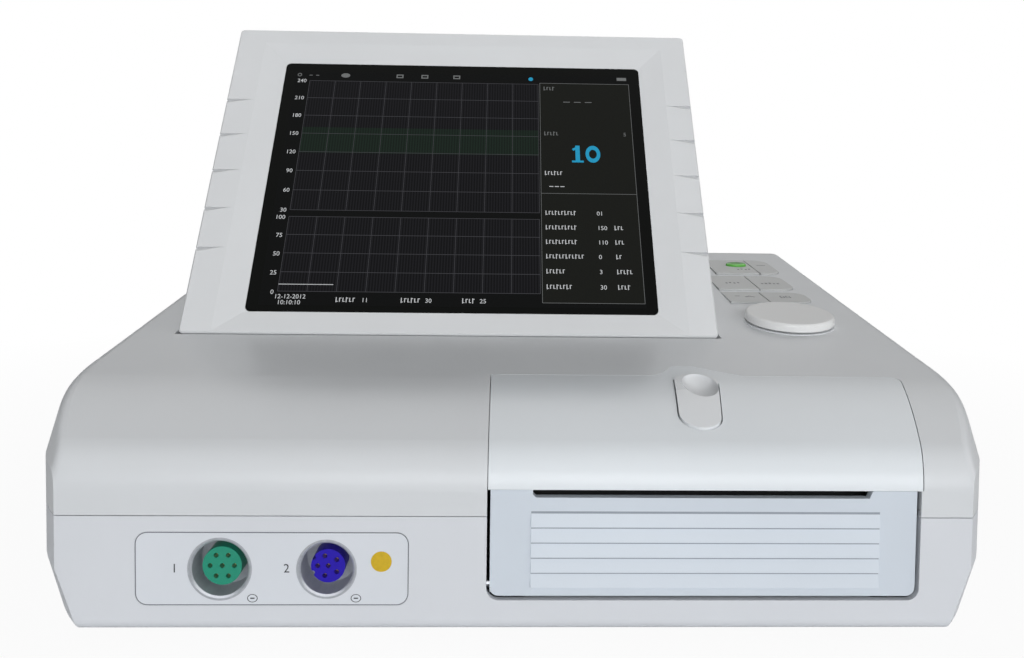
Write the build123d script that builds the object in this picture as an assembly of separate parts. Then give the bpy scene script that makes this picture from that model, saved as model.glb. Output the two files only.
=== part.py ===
from build123d import *
import math
import os

# Table-top fetal monitor: casing with a flip-up screen, two probe sockets, a strip
# printer behind a drop-down paper door, six keys and a push-and-turn knob.
# Millimetres. X to the right, Y to the back, Z up. Origin under the middle of the casing.

# ---------------------------------------------------------------- casing sizes
CASE_DEPTH = 320.0
FRONT_Y = -CASE_DEPTH / 2
REAR_Y = CASE_DEPTH / 2
HALF_W_FRONT = 171.5
HALF_W_REAR = 175.0
FOOT_H = 5.0
BOTTOM_Z = FOOT_H
SEAM_Z = 43.3
WALL = 2.5
CORNER_R = 97.0
CORNER_START = 60.1
CORNER_SWEEP = 80.0
REAR_CORNER_R = 24.0
REAR_RUN_ON = 0.5
DRAFT = 4.0
DRAFT_H = 21.0
LEAN_Z = 58.0
LEAN_TOP_Z = 130.0
LEAN_IN = 0.091
LEAN_BACK = 0.523
DECK_SLOPE = 8.0
DECK_Y = -115.0
DECK_Z = 77.8
BROW_R = 16.0
CREST_R = 150.0
CREST_ANGLE = 25.0
REAR_BROW_R = 34.5
DECK_EDGE_R = 5.0
BOTTOM_EDGE_R = 4.0
SEAM_GAP = 0.3
LIP_T = 1.2
LIP_H = 2.0
FIT = 0.1
SLIDE_GAP = 0.3
RUN = 0.05

# ---------------------------------------------------------------- screen sizes
SCREEN_X = -29.2
SCREEN_W = 236.4
SCREEN_L = 176.7
SCREEN_T = 24.0
SCREEN_LEAN = 33.63
SCREEN_WALL = 2.4
SCREEN_GAP = 1.2
HINGE_Y = -40.7
HINGE_UP = 10.0
HINGE_INSET = 12.9
HINGE_BARREL_R = 6.0
HINGE_BARREL_L = 12.0
HINGE_PIN_R = 2.95
HINGE_EAR_T = 2.6
HINGE_EAR_GAP = 0.5
HINGE_WEB_T = 10.0
TROUGH_GAP = 0.6
WELL_FLOOR_GAP = 1.0
WELL_WALL = 2.2
GLASS_W = 184.2
GLASS_L = 143.7
GLASS_T = 1.8
GLASS_X = 0.6
GLASS_V = 11.3
GLASS_R = 2.5
GLASS_SINK = 1.8
GLASS_LEDGE = 4.0
BEZEL_T = 3.0
BEVEL_SIDE = 12.6
BEVEL_LOW = 10.4
LCD_W = 188.0
LCD_L = 144.0
LCD_T = 9.0
GROOVE_FIRST = 41.8
GROOVE_PITCH = 21.6
GROOVE_COUNT = 5
GROOVE_H = 2.6
GROOVE_DEEP = 1.4
GROOVE_RUN = 12.0

# ---------------------------------------------------------------- printer sizes
BAY_LEFT = -10.85
BAY_RIGHT = 133.3
BAY_LOW = 15.5
BAY_CORNER_R = 4.0
BAY_BACK = FRONT_Y + 60.0
COVER_Z = 52.4
COVER_GAP = 0.15
COVER_REAR = FRONT_Y + 55.0
COVER_FLARE = 15.3
BUMP_OUT = 11.2
COVER_LAP = 4.0
COVER_FLANGE_T = 1.5
DOOR_GAP = 1.1
DOOR_TOP_GAP = 0.4
DOOR_RECESS = 1.0
DOOR_T = 3.0
DOOR_BARREL_R = 2.9
DOOR_BARREL_L = 7.5
DOOR_PIN_R = 1.25
RIB_LEFT = 3.7
RIB_RIGHT = 119.8
RIB_FIRST_Z = 19.7
RIB_PITCH = 5.05
RIB_COUNT = 5
RIB_H = 4.3
SLOT_LEFT = 4.2
SLOT_RIGHT = 117.7
SLOT_Z = 49.5
LUG_W = 2.4
LUG_T = 2.4
LUG_Z = 40.0
LUG_H = 7.0
PAPER_W = 112.0
PAPER_L = 90.0
PAPER_H = 16.0
TRAY_GAP = 1.7
TRAY_WALL = 1.5
TRAY_H = 21.5
FRAME_T = 1.5
FRAME_H = 48.5
FRAME_LEFT = -4.5
FRAME_RIGHT = 126.0
FRAME_FRONT = FRONT_Y + 8.0
FRAME_BACK = FRONT_Y + 65.0
FRAME_BRIDGE_Z = 29.8
PLATEN_Y = FRONT_Y + 17.0
PLATEN_Z = 44.5
PLATEN_R = 6.5
SHAFT_R = 2.0
BUSH_R = 3.5
HEAD_T = 2.7
HEAD_FRONT = FRONT_Y + 12.0
HEAD_BACK = FRONT_Y + 26.0
GEAR_MODULE = 0.8
GEAR_W = 4.0
GEAR_X = 127.0
PRESSURE = 25.0
ADDENDUM = 0.9
DEDENDUM = 1.2
BACKLASH = 0.16
PLATEN_TEETH = 26
IDLER_TEETH = 22
PINION_TEETH = 14
IDLER_PIN_R = 1.5
MOTOR_R = 12.0
MOTOR_L = 22.0
MOTOR_SHAFT_R = 1.0

# ---------------------------------------------------------------- latch sizes
LATCH_GAP = 0.45
LATCH_PROUD = 0.7
LATCH_BASE_Z = 66.0
YOKE_Z = 57.4
YOKE_T = 2.0
YOKE_FRONT = FRONT_Y + 6.7
YOKE_D = 6.3
YOKE_LEFT = -2.0
YOKE_RIGHT = 123.5
ARM_W = 4.0
ARM_T = 2.0
ARM_END_Z = 43.8
STEM_X = 66.0
STEM_Y = FRONT_Y + 32.5
STEM_W = 12.0
BUTTON_REAR = (1.2, 14.7, 8.2)
BUTTON_NOSE = (-2.4, -10.1, 7.4)
SPRING_R = 3.2
SPRING_WIRE = 0.5
SPRING_PITCH = 3.2

# ---------------------------------------------------------------- deck controls
KEY_GAP = 0.6
KEY_TRAVEL = 1.2
KEY_RISE = 0.9
KEY_FLANGE = 1.0
KEY_FLANGE_T = 1.1
KEY_END_R = 8.0
ROWS = {"front": (2.5, 25.5, 109.0, 129.0, 151.8),
        "middle": (28.5, 62.0, 109.0, 130.8, 150.5),
        "rear": (65.0, 103.0, 116.0, 141.0, 153.5)}
MAT_T = 2.0
BOARD_T = 1.6
BOARD_SIDE_GAP = 1.6
BOARD_LEFT = SCREEN_X + SCREEN_W / 2 + SCREEN_GAP + WELL_WALL + BOARD_SIDE_GAP
BOARD_RIGHT = 158.0
BOARD_FRONT = -51.0
BOARD_REAR = 106.0
KNOB_X = 128.0
KNOB_Y = -30.9
KNOB_R = 20.35
KNOB_TOP = 4.9
KNOB_RIM_LOW = 0.95
KNOB_NECK_R = 17.5
KNOB_NECK_LOW = 0.75
KNOB_RING_R = 20.7
KNOB_RING_H = 0.35
KNOB_BORE_TOP = 2.0
KNOB_TRAVEL = 0.5
SPINDLE_R = 3.0
ENCODER_W = 14.0
ENCODER_H = 7.9
BUSHING_R = 4.4
PLUNGER_L = 3.3
LENS_X = 132.5
LENS_Y = 87.0
LENS_L = 12.0
LENS_W = 8.0
LENS_RISE = 1.5
LENS_EDGE_R = 1.1

# ---------------------------------------------------------------- sockets and rear
LABEL_LEFT = -124.9
LABEL_RIGHT = -36.2
LABEL_LOW = 13.8
LABEL_HIGH = 38.2
LABEL_R = 4.0
LABEL_T = 0.3
SOCKET_Z = 25.85
GREEN_X = -97.6
GREEN_R = 9.14
GREEN_INSERT_R = 6.4
BLUE_X = -63.0
BLUE_R = 8.54
BLUE_INSERT_R = 5.6
SOCKET_WALL = 1.3
SOCKET_BORE = 11.0
SOCKET_L = 23.0
SOCKET_FLANGE = 2.5
INSERT_SINK = 2.8
CONTACT_RING = 0.62
CONTACT_R = 0.7
CONTACT_HOLE_R = 0.8
BACK_LEFT = -75.0
BACK_RIGHT = 148.0
BACK_LOW = 12.0
BACK_HIGH = 40.0
BACK_DEEP = 8.0
INLET_X = 118.0
INLET_W = 27.0
INLET_H = 20.0
INLET_FLANGE_W = 50.0
SWITCH_X = 78.0
SWITCH_W = 22.0
SWITCH_H = 27.0
ROCKER_W = 18.4
ROCKER_TILT = 8.0
FUSE_X = 48.0
FUSE_R = 5.5
PORT_X = 0.0
PORT_W = 16.0
PORT_H = 13.5
FOOT_X = 140.0
FOOT_Y = 125.0
FOOT_R = 9.0
FOOT_SINK = 1.0
SCREW_X = 162.5
SCREW_YS = (-80.0, 100.0)
SCREW_BOSS_R = 3.6
SCREW_R = 1.8
SCREW_HEAD_R = 3.0
SCREW_L = 28.0
SCREW_HEAD_Z = 27.0

# ---------------------------------------------------------------- inside the casing
BATTERY_LEFT = -148.0
BATTERY_RIGHT = -62.0
BATTERY_FRONT = 38.0
BATTERY_BACK = 111.0
BATTERY_H = 21.0
BATTERY_LEDGE = 3.0
SUPPLY_LEFT = 15.0
SUPPLY_RIGHT = 125.0
SUPPLY_FRONT = -20.0
SUPPLY_BACK = 90.0
SUPPLY_H = 36.0
MAIN_LEFT = -140.0
MAIN_RIGHT = -28.0
MAIN_FRONT = FRONT_Y + 48.0
MAIN_BACK = 20.0
MAIN_UP = 6.5
SPEAKER_X = -25.0
SPEAKER_Y = 75.0
SPEAKER_R = 25.0
SPEAKER_H = 15.0

# ---------------------------------------------------------------- worked out
SLOPE_SIN = math.sin(math.radians(DECK_SLOPE))
SLOPE_COS = math.cos(math.radians(DECK_SLOPE))
SLOPE_TAN = math.tan(math.radians(DECK_SLOPE))
LEAN_SIN = math.sin(math.radians(SCREEN_LEAN))
LEAN_COS = math.cos(math.radians(SCREEN_LEAN))
HALF = math.sqrt(0.5)
FLOOR_Z = BOTTOM_Z + WALL
FRONT_IN = FRONT_Y + WALL
REACH = 400.0
MIN3 = (Align.MIN, Align.MIN, Align.MIN)


def deck_z(y):
    """Height of the deck plane at y."""
    return DECK_Z + SLOPE_TAN * (y - DECK_Y)


HINGE_Z = deck_z(HINGE_Y)
HINGE_IN = SCREEN_T / 2
SCREEN_Y = HINGE_Y - HINGE_UP * LEAN_SIN - HINGE_IN * LEAN_COS
SCREEN_Z = HINGE_Z - HINGE_UP * LEAN_COS + HINGE_IN * LEAN_SIN
TROUGH_R = math.hypot(HINGE_UP, HINGE_IN) + TROUGH_GAP
DECK = Plane(origin=(0, DECK_Y, DECK_Z), x_dir=(1, 0, 0), z_dir=(0, -SLOPE_SIN, SLOPE_COS))
SCREEN = Plane(origin=(SCREEN_X, SCREEN_Y, SCREEN_Z), x_dir=(1, 0, 0), z_dir=(0, -LEAN_COS, LEAN_SIN))
HINGE_SPREAD = SCREEN_W / 2 - HINGE_INSET
HINGE_XS = (SCREEN_X - HINGE_SPREAD, SCREEN_X + HINGE_SPREAD)
DOOR_FACE_Y = FRONT_Y + DOOR_RECESS
DOOR_AXIS_Y = DOOR_FACE_Y + DOOR_T
DOOR_LEFT = BAY_LEFT + DOOR_GAP
DOOR_RIGHT = BAY_RIGHT - DOOR_GAP
DOOR_LOW = BAY_LOW + DOOR_GAP
DOOR_HIGH = COVER_Z - DOOR_TOP_GAP
DOOR_AXIS_Z = DOOR_LOW + DOOR_T
BACK_Y = REAR_Y - BACK_DEEP
BACK_Z = (BACK_LOW + BACK_HIGH) / 2
PLATEN_TOOTH_R = GEAR_MODULE * PLATEN_TEETH / 2
IDLER_TOOTH_R = GEAR_MODULE * IDLER_TEETH / 2
PINION_TOOTH_R = GEAR_MODULE * PINION_TEETH / 2
IDLER_Y = PLATEN_Y + PLATEN_TOOTH_R + IDLER_TOOTH_R
PINION_Y = IDLER_Y + IDLER_TOOTH_R + PINION_TOOTH_R
FRAME_TOP = FLOOR_Z + FRAME_H
HEAD_Z = PLATEN_Z + PLATEN_R + SLIDE_GAP
BRIDGE_TOP = FRAME_BRIDGE_Z + FRAME_T
PAPER_X = (SLOT_LEFT + SLOT_RIGHT) / 2
KEY_LOW = -WALL - SLIDE_GAP - KEY_FLANGE_T
MAT_TOP = KEY_LOW - KEY_TRAVEL - SLIDE_GAP
BOARD_TOP = MAT_TOP - MAT_T
BOARD_LOW = BOARD_TOP - BOARD_T
ENCODER_LOW = BOARD_LOW - ENCODER_H


# ---------------------------------------------------------------- helpers
def block(x0, x1, y0, y1, z0, z1):
    """Box between two corners."""
    return Pos(x0, y0, z0) * Box(x1 - x0, y1 - y0, z1 - z0, align=MIN3)


def rod_x(x0, x1, y, z, r):
    """Cylinder along X."""
    low = (Align.CENTER, Align.CENTER, Align.MIN)
    return Pos(x0, y, z) * Rot(0, 90, 0) * Cylinder(r, x1 - x0, align=low)


def rod_y(x, y0, y1, z, r):
    """Cylinder along Y."""
    low = (Align.CENTER, Align.CENTER, Align.MIN)
    return Pos(x, y0, z) * Rot(-90, 0, 0) * Cylinder(r, y1 - y0, align=low)


def rod_z(x, y, z0, z1, r):
    """Cylinder along Z."""
    low = (Align.CENTER, Align.CENTER, Align.MIN)
    return Pos(x, y, z0) * Cylinder(r, z1 - z0, align=low)


def deck_t(y):
    """Distance along the sloped deck for a point of it at y."""
    return (y - DECK_Y) / SLOPE_COS


def deck_block(x0, x1, y0, y1, h0, h1):
    """Box square to the deck, h measured off the deck plane."""
    return DECK * block(x0, x1, deck_t(y0), deck_t(y1), h0, h1)


def deck_rod(x, y, h0, h1, r):
    """Cylinder square to the deck."""
    return DECK * rod_z(x, deck_t(y), h0, h1, r)


def screen_block(u0, u1, v0, v1, w0, w1):
    """Box in the screen's own frame: u across, v up the face, w out of the face."""
    return SCREEN * block(u0, u1, v0, v1, w0, w1)


def rounded(solid, axis, radius):
    """Round every edge of a box that runs along one axis."""
    return fillet(solid.edges().filter_by(axis), radius)


# ---------------------------------------------------------------- casing form
def outline(z, narrower=0.0, later=0.0, inset=0.0):
    """Plan of the casing at z; its corner arcs run on past the front and rear faces."""
    radius = CORNER_R - inset
    half = HALF_W_FRONT - narrower - inset
    rear_half = HALF_W_REAR - narrower - inset
    start = FRONT_Y + CORNER_START + later
    rear_r = REAR_CORNER_R - inset
    back = REAR_Y + REAR_RUN_ON - inset

    def on_arc(angle, side):
        turn = math.radians(angle)
        return (side * (half - radius + radius * math.cos(turn)), start - radius * math.sin(turn))

    with BuildSketch(Plane.XY.offset(z)) as plan:
        with BuildLine():
            for side in (1, -1):
                corner = (side * rear_half, back - rear_r)
                ThreePointArc((side * half, start), on_arc(CORNER_SWEEP / 2, side), on_arc(CORNER_SWEEP, side))
                Line((side * half, start), corner)
                bend = rear_r * (1 - HALF)
                middle = (side * (rear_half - bend), back - bend)
                ThreePointArc(corner, middle, (side * (rear_half - rear_r), back))
            Line(on_arc(CORNER_SWEEP, 1), on_arc(CORNER_SWEEP, -1))
            Line((rear_half - rear_r, back), (rear_r - rear_half, back))
        make_face()
    return plan.sketch


def side_profile(inset=0.0):
    """Casing seen from the side: upright front, round brow, long crest, sloped deck, round rear."""
    front = FRONT_Y + inset
    rear = REAR_Y - inset
    bottom = BOTTOM_Z + inset
    lean = math.radians(CREST_ANGLE)
    spread = CREST_R - BROW_R
    crest_y = FRONT_Y + BROW_R + spread * math.sin(lean)
    crest_z = deck_z(crest_y - CREST_R * SLOPE_SIN) - CREST_R * SLOPE_COS
    crest = (crest_y, crest_z)
    brow = (FRONT_Y + BROW_R, crest_z + spread * math.cos(lean))
    nape = (REAR_Y - REAR_BROW_R, deck_z(REAR_Y - REAR_BROW_R) - REAR_BROW_R / SLOPE_COS)

    def around(centre, radius, angle):
        turn = math.radians(angle)
        return (centre[0] + radius * math.cos(turn), centre[1] + radius * math.sin(turn))

    upright = 90 + DECK_SLOPE
    meet = 90 + CREST_ANGLE
    brow_r = BROW_R - inset
    crest_r = CREST_R - inset
    nape_r = REAR_BROW_R - inset
    with BuildSketch(Plane.YZ) as side:
        with BuildLine():
            Line((front, bottom), (front, brow[1]))
            ThreePointArc((front, brow[1]), around(brow, brow_r, (180 + meet) / 2), around(brow, brow_r, meet))
            ThreePointArc(around(brow, brow_r, meet), around(crest, crest_r, (meet + upright) / 2),
                          around(crest, crest_r, upright))
            Line(around(crest, crest_r, upright), around(nape, nape_r, upright))
            ThreePointArc(around(nape, nape_r, upright), around(nape, nape_r, upright / 2), (rear, nape[1]))
            Line((rear, nape[1]), (rear, bottom))
            Line((rear, bottom), (front, bottom))
        make_face()
    return extrude(side.sketch, REACH / 2, both=True)


def casing_form(inset=0.0):
    """Closed solid inside the casing's skin, moved in by inset."""
    draft_top = BOTTOM_Z + DRAFT_H
    rise = LEAN_TOP_Z - LEAN_Z
    low = loft([outline(BOTTOM_Z, DRAFT, DRAFT, inset), outline(draft_top, 0, 0, inset)], ruled=True)
    middle = extrude(outline(draft_top, 0, 0, inset), LEAN_Z - draft_top)
    leaning = outline(LEAN_TOP_Z, LEAN_IN * rise, LEAN_BACK * rise, inset)
    high = loft([outline(LEAN_Z, 0, 0, inset), leaning], ruled=True)
    return (low + middle + high) & side_profile(inset)


def casing_skin():
    """Outer form with its rounded deck and bottom edges."""
    body = casing_form()

    def on_rim(edge):
        middle = edge @ 0.5
        sloped = abs((edge @ 0).Z - (edge @ 1).Z) > 1
        inboard = FRONT_Y + CORNER_START / 2 < middle.Y < REAR_Y - REAR_BROW_R
        return sloped and inboard and middle.Z > LEAN_Z + 2 and abs(middle.X) > HALF_W_FRONT - 16

    body = fillet(body.edges().filter_by(on_rim), DECK_EDGE_R)
    foot = body.edges().filter_by(lambda edge: abs((edge @ 0.5).Z - BOTTOM_Z) < 0.01)
    return fillet(foot, BOTTOM_EDGE_R)


def slab(z0, z1):
    """Wide level slab used to keep one height range."""
    return block(-REACH / 2, REACH / 2, -REACH / 2, REACH / 2, z0, z1)


SKIN = casing_skin()
HOLLOW = casing_form(WALL)


# ---------------------------------------------------------------- openings in the casing
def bay_opening():
    """Opening in the front for the paper door."""
    hole = block(BAY_LEFT, BAY_RIGHT, FRONT_Y - 2, FRONT_IN + 0.5, BAY_LOW, COVER_Z)
    low = hole.edges().filter_by(Axis.Y).sort_by(Axis.Z)[:2]
    return fillet(low, BAY_CORNER_R)


def cover_plan(grow):
    """Plan of the printer cover, grown or shrunk all round."""
    left = BAY_LEFT + COVER_GAP
    right = BAY_RIGHT - 0.6
    back_right = BAY_RIGHT + COVER_FLARE
    front = FRONT_Y - 4
    bump = COVER_REAR + BUMP_OUT
    with BuildSketch(Plane.XY.offset(COVER_Z)) as plan:
        with BuildLine():
            Polyline((right, front), (left, front), (left, COVER_REAR), (STEM_X - 12, COVER_REAR),
                     (STEM_X - 5, bump), (STEM_X + 3, bump), (STEM_X + 21.5, COVER_REAR),
                     (back_right, COVER_REAR))
            halfway = (BAY_RIGHT + 7.2, (COVER_REAR + FRONT_Y) / 2 - 3.5)
            ThreePointArc((back_right, COVER_REAR), halfway, (right, front))
        make_face()
        rear = plan.vertices().filter_by(lambda v: v.Y > COVER_REAR - 1).sort_by(Axis.X)
        fillet(rear[1], 8)
        rear = plan.vertices().filter_by(lambda v: v.Y > bump - 0.01).sort_by(Axis.X)
        fillet(rear, 4.5)
        rear = plan.vertices().filter_by(lambda v: abs(v.Y - COVER_REAR) < 0.01).sort_by(Axis.X)
        fillet(rear[-2:], 4)
        if grow:
            offset(amount=grow, mode=Mode.REPLACE)
    return plan.sketch


def cover_prism(grow):
    """Upright prism over the printer cover's plan."""
    return extrude(cover_plan(grow), REACH / 2)


def button_plan(grow):
    """Egg-shaped plan of the latch button, narrower towards the front."""
    with BuildSketch(Plane.XY.offset(LATCH_BASE_Z)) as plan:
        for across, along, radius in (BUTTON_REAR, BUTTON_NOSE):
            with Locations((STEM_X + across, STEM_Y + along)):
                Circle(radius + grow)
        make_hull()
    return plan.sketch


def screen_well(grow=0.0):
    """Space that the folded screen lies in, with the trough round its hinge axis."""
    left = SCREEN_X - SCREEN_W / 2 - SCREEN_GAP - grow
    right = SCREEN_X + SCREEN_W / 2 + SCREEN_GAP + grow
    deep = HINGE_IN + WELL_FLOOR_GAP + grow
    start = deck_t(HINGE_Y)
    end = start + SCREEN_L - HINGE_UP + SCREEN_GAP + grow
    bed = DECK * block(left, right, start, end, -deep, deep)
    return bed + rod_x(left, right, HINGE_Y, HINGE_Z, TROUGH_R + grow)


def row_hole(row, grow, low, high):
    """Opening for one row of two keys, with rounded right corners."""
    front, rear, left, _, right = ROWS[row]
    hole = block(left - grow, right + grow, deck_t(front) - grow, deck_t(rear) + grow, low, high)
    ends = hole.edges().filter_by(Axis.Z).sort_by(Axis.X)[2:]
    return DECK * fillet(ends, KEY_END_R + grow)


def board_post_places():
    """Posts under the deck that carry the key board."""
    return [(98.0, -44.0), (98.0, 98.0), (154.0, -46.0), (155.4, 44.0)]


def screw_bosses(z0, z1, radius):
    """Round posts at the casing screws."""
    posts = [rod_z(side * SCREW_X, y, z0, z1, radius) for side in (-1, 1) for y in SCREW_YS]
    return posts


# ---------------------------------------------------------------- casing halves
def upper_casing():
    """Top half with the deck, the screen well and the openings for cover, keys and knob."""
    inner = casing_form(WALL - 0.1)
    half = (SKIN & slab(SEAM_Z + SEAM_GAP, LEAN_TOP_Z)) - HOLLOW
    half -= casing_form(WALL - LIP_T - FIT) & slab(SEAM_Z, SEAM_Z + LIP_H + SEAM_GAP)
    half += screen_well(WELL_WALL) & inner
    for post in screw_bosses(SEAM_Z, LEAN_TOP_Z, SCREW_BOSS_R):
        half += post & inner
    for x, y in board_post_places():
        half += deck_rod(x, y, BOARD_TOP, -WALL + 0.5, 2.5)
    ring = deck_rod(KNOB_X, KNOB_Y, -0.5, KNOB_RING_H, KNOB_RING_R)
    half += ring - deck_rod(KNOB_X, KNOB_Y, -0.5, KNOB_RING_H + 1, KNOB_NECK_R + 0.8)
    for hole in screw_bosses(SEAM_Z - 1, SCREW_HEAD_Z + SCREW_L, SCREW_R):
        half -= hole
    half -= screen_well()
    for row in ROWS:
        half -= row_hole(row, SLIDE_GAP, -WALL - 1, WALL)
    half -= deck_rod(KNOB_X, KNOB_Y, -WALL - 1, WALL, BUSHING_R + SLIDE_GAP)
    half -= bay_opening()
    half -= cover_prism(COVER_GAP)
    return half


def foot_places():
    """Centres of the four feet."""
    return [(side * FOOT_X, end * FOOT_Y) for side in (-1, 1) for end in (-1, 1)]


def lower_casing():
    """Tray-shaped lower half with the printer bay, sockets, battery bay and rear recess."""
    inner = casing_form(WALL - 0.1)
    half = (SKIN & slab(0, SEAM_Z)) - HOLLOW
    lip = (casing_form(WALL - LIP_T) - HOLLOW) & slab(SEAM_Z - LIP_H, SEAM_Z + LIP_H)
    half += lip
    for x0 in (BAY_LEFT - WALL, BAY_RIGHT):
        half += block(x0, x0 + WALL, FRONT_IN - 0.1, BAY_BACK, FLOOR_Z - 0.1, SEAM_Z)
    for post in screw_bosses(FLOOR_Z - 0.1, SEAM_Z, SCREW_BOSS_R):
        half += post
    rear_box = block(BACK_LEFT - WALL, BACK_RIGHT + WALL, BACK_Y - WALL, REAR_Y - 0.5,
                     BACK_LOW - WALL, BACK_HIGH + WALL)
    half += rear_box & inner
    half -= block(BACK_LEFT, BACK_RIGHT, BACK_Y, REAR_Y + 1, BACK_LOW, BACK_HIGH)
    half -= bay_opening()
    for x0 in (MAIN_LEFT + 6, MAIN_RIGHT - 6):
        for y in (MAIN_FRONT + 6, MAIN_BACK - 6):
            half += rod_z(x0, y, FLOOR_Z - 0.1, FLOOR_Z + MAIN_UP, 3.0)
    half += battery_walls()
    half -= block(BATTERY_LEFT, BATTERY_RIGHT, BATTERY_FRONT, BATTERY_BACK, BOTTOM_Z - 1, FLOOR_Z)
    for x, y in foot_places():
        half -= rod_z(x, y, 0, BOTTOM_Z + FOOT_SINK, FOOT_R + FIT)
    for x, radius in ((GREEN_X, GREEN_R), (BLUE_X, BLUE_R)):
        half -= rod_y(x, FRONT_Y - 1, FRONT_IN + 1, SOCKET_Z, radius + SOCKET_WALL)
    half -= label_plate(FRONT_Y - 1, FRONT_Y + LABEL_T, 0)
    for head in screw_bosses(0, SCREW_HEAD_Z, SCREW_HEAD_R + 2 * FIT):
        half -= head
    for hole in screw_bosses(SCREW_HEAD_Z - 1, SEAM_Z + 3, SCREW_R):
        half -= hole
    half -= rod_x(BAY_LEFT - WALL + 0.3, BAY_RIGHT + WALL - 0.3, DOOR_AXIS_Y, DOOR_AXIS_Z, DOOR_PIN_R)
    for k in range(-3, 4):
        reach = math.sqrt((SPEAKER_R - 6) ** 2 - (6 * k) ** 2)
        y = SPEAKER_Y + 6 * k
        half -= block(SPEAKER_X - reach, SPEAKER_X + reach, y - 1, y + 1, 0, FLOOR_Z + 1)
    half -= rear_holes()
    for x, y in battery_screw_places():
        half -= rod_z(x, y, FLOOR_Z, FLOOR_Z + 8, SCREW_R)
    return half


def rear_holes():
    """Panel holes for the inlet, switch, fuses and network port."""
    def window(x, width, height):
        return block(x - width / 2, x + width / 2, BACK_Y - WALL - 1, BACK_Y + 1,
                     BACK_Z - height / 2, BACK_Z + height / 2)

    holes = window(INLET_X, INLET_W, INLET_H) + window(SWITCH_X, SWITCH_W, SWITCH_H - 3)
    holes += window(PORT_X, PORT_W, PORT_H)
    for z in fuse_heights():
        holes += rod_y(FUSE_X, BACK_Y - WALL - 1, BACK_Y + 1, z, FUSE_R)
    return holes


def battery_walls():
    """Upright walls round the battery, with a ledge that the cover closes against."""
    t = TRAY_WALL
    outer = block(BATTERY_LEFT - t, BATTERY_RIGHT + t, BATTERY_FRONT - t, BATTERY_BACK + t,
                  FLOOR_Z - 0.1, FLOOR_Z + BATTERY_H)
    room = block(BATTERY_LEFT + 2, BATTERY_RIGHT - 2, BATTERY_FRONT + 2, BATTERY_BACK - 2,
                 FLOOR_Z + t, FLOOR_Z + BATTERY_H + 1)
    mouth = block(BATTERY_LEFT + BATTERY_LEDGE, BATTERY_RIGHT - BATTERY_LEDGE, BATTERY_FRONT + BATTERY_LEDGE,
                  BATTERY_BACK - BATTERY_LEDGE, FLOOR_Z - 1, FLOOR_Z + BATTERY_H)
    walls = outer - room - mouth
    for x, y in battery_screw_places():
        walls += rod_z(x, y, FLOOR_Z, FLOOR_Z + 9, 4.5) - room
    return walls


def battery_screw_places():
    """Two screws hold the battery cover at the middle of its short sides."""
    middle = (BATTERY_FRONT + BATTERY_BACK) / 2
    return [(BATTERY_LEFT + 2, middle), (BATTERY_RIGHT - 2, middle)]


def battery_cover():
    """Cover plate flush with the underside."""
    gap = SLIDE_GAP
    plate = block(BATTERY_LEFT + gap, BATTERY_RIGHT - gap, BATTERY_FRONT + gap, BATTERY_BACK - gap,
                  BOTTOM_Z, FLOOR_Z)
    for k in range(6):
        y = BATTERY_BACK - 14 - 3 * k
        plate -= block(BATTERY_LEFT + 28, BATTERY_RIGHT - 28, y, y + 1.2, BOTTOM_Z - 1, BOTTOM_Z + 0.6)
    for x, y in battery_screw_places():
        inward = x + (2.5 if x < (BATTERY_LEFT + BATTERY_RIGHT) / 2 else -2.5)
        plate -= rod_z(inward, y, BOTTOM_Z - 1, FLOOR_Z + 1, SCREW_R)
    return plate


def battery_pack():
    """Rechargeable pack resting on the ledge of its bay."""
    gap = 2.6
    pack = block(BATTERY_LEFT + gap, BATTERY_RIGHT - gap, BATTERY_FRONT + gap, BATTERY_BACK - gap,
                 FLOOR_Z + TRAY_WALL, FLOOR_Z + BATTERY_H)
    return rounded(pack, Axis.Z, 3)


# ---------------------------------------------------------------- feet and fasteners
def rubber_feet():
    """Four rubber pads seated in shallow pockets."""
    feet = []
    for x, y in foot_places():
        foot = rod_z(x, y, 0, BOTTOM_Z + FOOT_SINK, FOOT_R)
        feet.append(chamfer(foot.faces().sort_by(Axis.Z)[0].edges(), 1.0))
    return feet


def screw(x, y, z, length, radius, head_r, head_h):
    """Pan-head screw driven upwards from z, with a cross slot in its head."""
    body = rod_z(x, y, z, z + length, radius) + rod_z(x, y, z, z + head_h, head_r)
    slot = block(x - head_r * 0.6, x + head_r * 0.6, y - 0.4, y + 0.4, z - 1, z + head_h * 0.5)
    return body - slot - slot.rotate(Axis((x, y, 0), (0, 0, 1)), 90)


def casing_screws():
    """Four long screws that clamp the casing halves."""
    return [screw(side * SCREW_X, y, SCREW_HEAD_Z - 2.4, SCREW_L, SCREW_R, SCREW_HEAD_R, 2.4)
            for side in (-1, 1) for y in SCREW_YS]


# ---------------------------------------------------------------- probe sockets
def label_plate(y0, y1, shrink):
    """Rounded plate of the socket label between two depths."""
    plate = block(LABEL_LEFT + shrink, LABEL_RIGHT - shrink, y0, y1, LABEL_LOW + shrink, LABEL_HIGH - shrink)
    return rounded(plate, Axis.Y, LABEL_R - shrink)


def connector_label():
    """Film round the two sockets, let into the front."""
    film = label_plate(FRONT_Y, FRONT_Y + LABEL_T, FIT)
    for x, radius in ((GREEN_X, GREEN_R), (BLUE_X, BLUE_R)):
        film -= rod_y(x, FRONT_Y - 1, FRONT_Y + 1, SOCKET_Z, radius + SOCKET_WALL)
    return film


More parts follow.
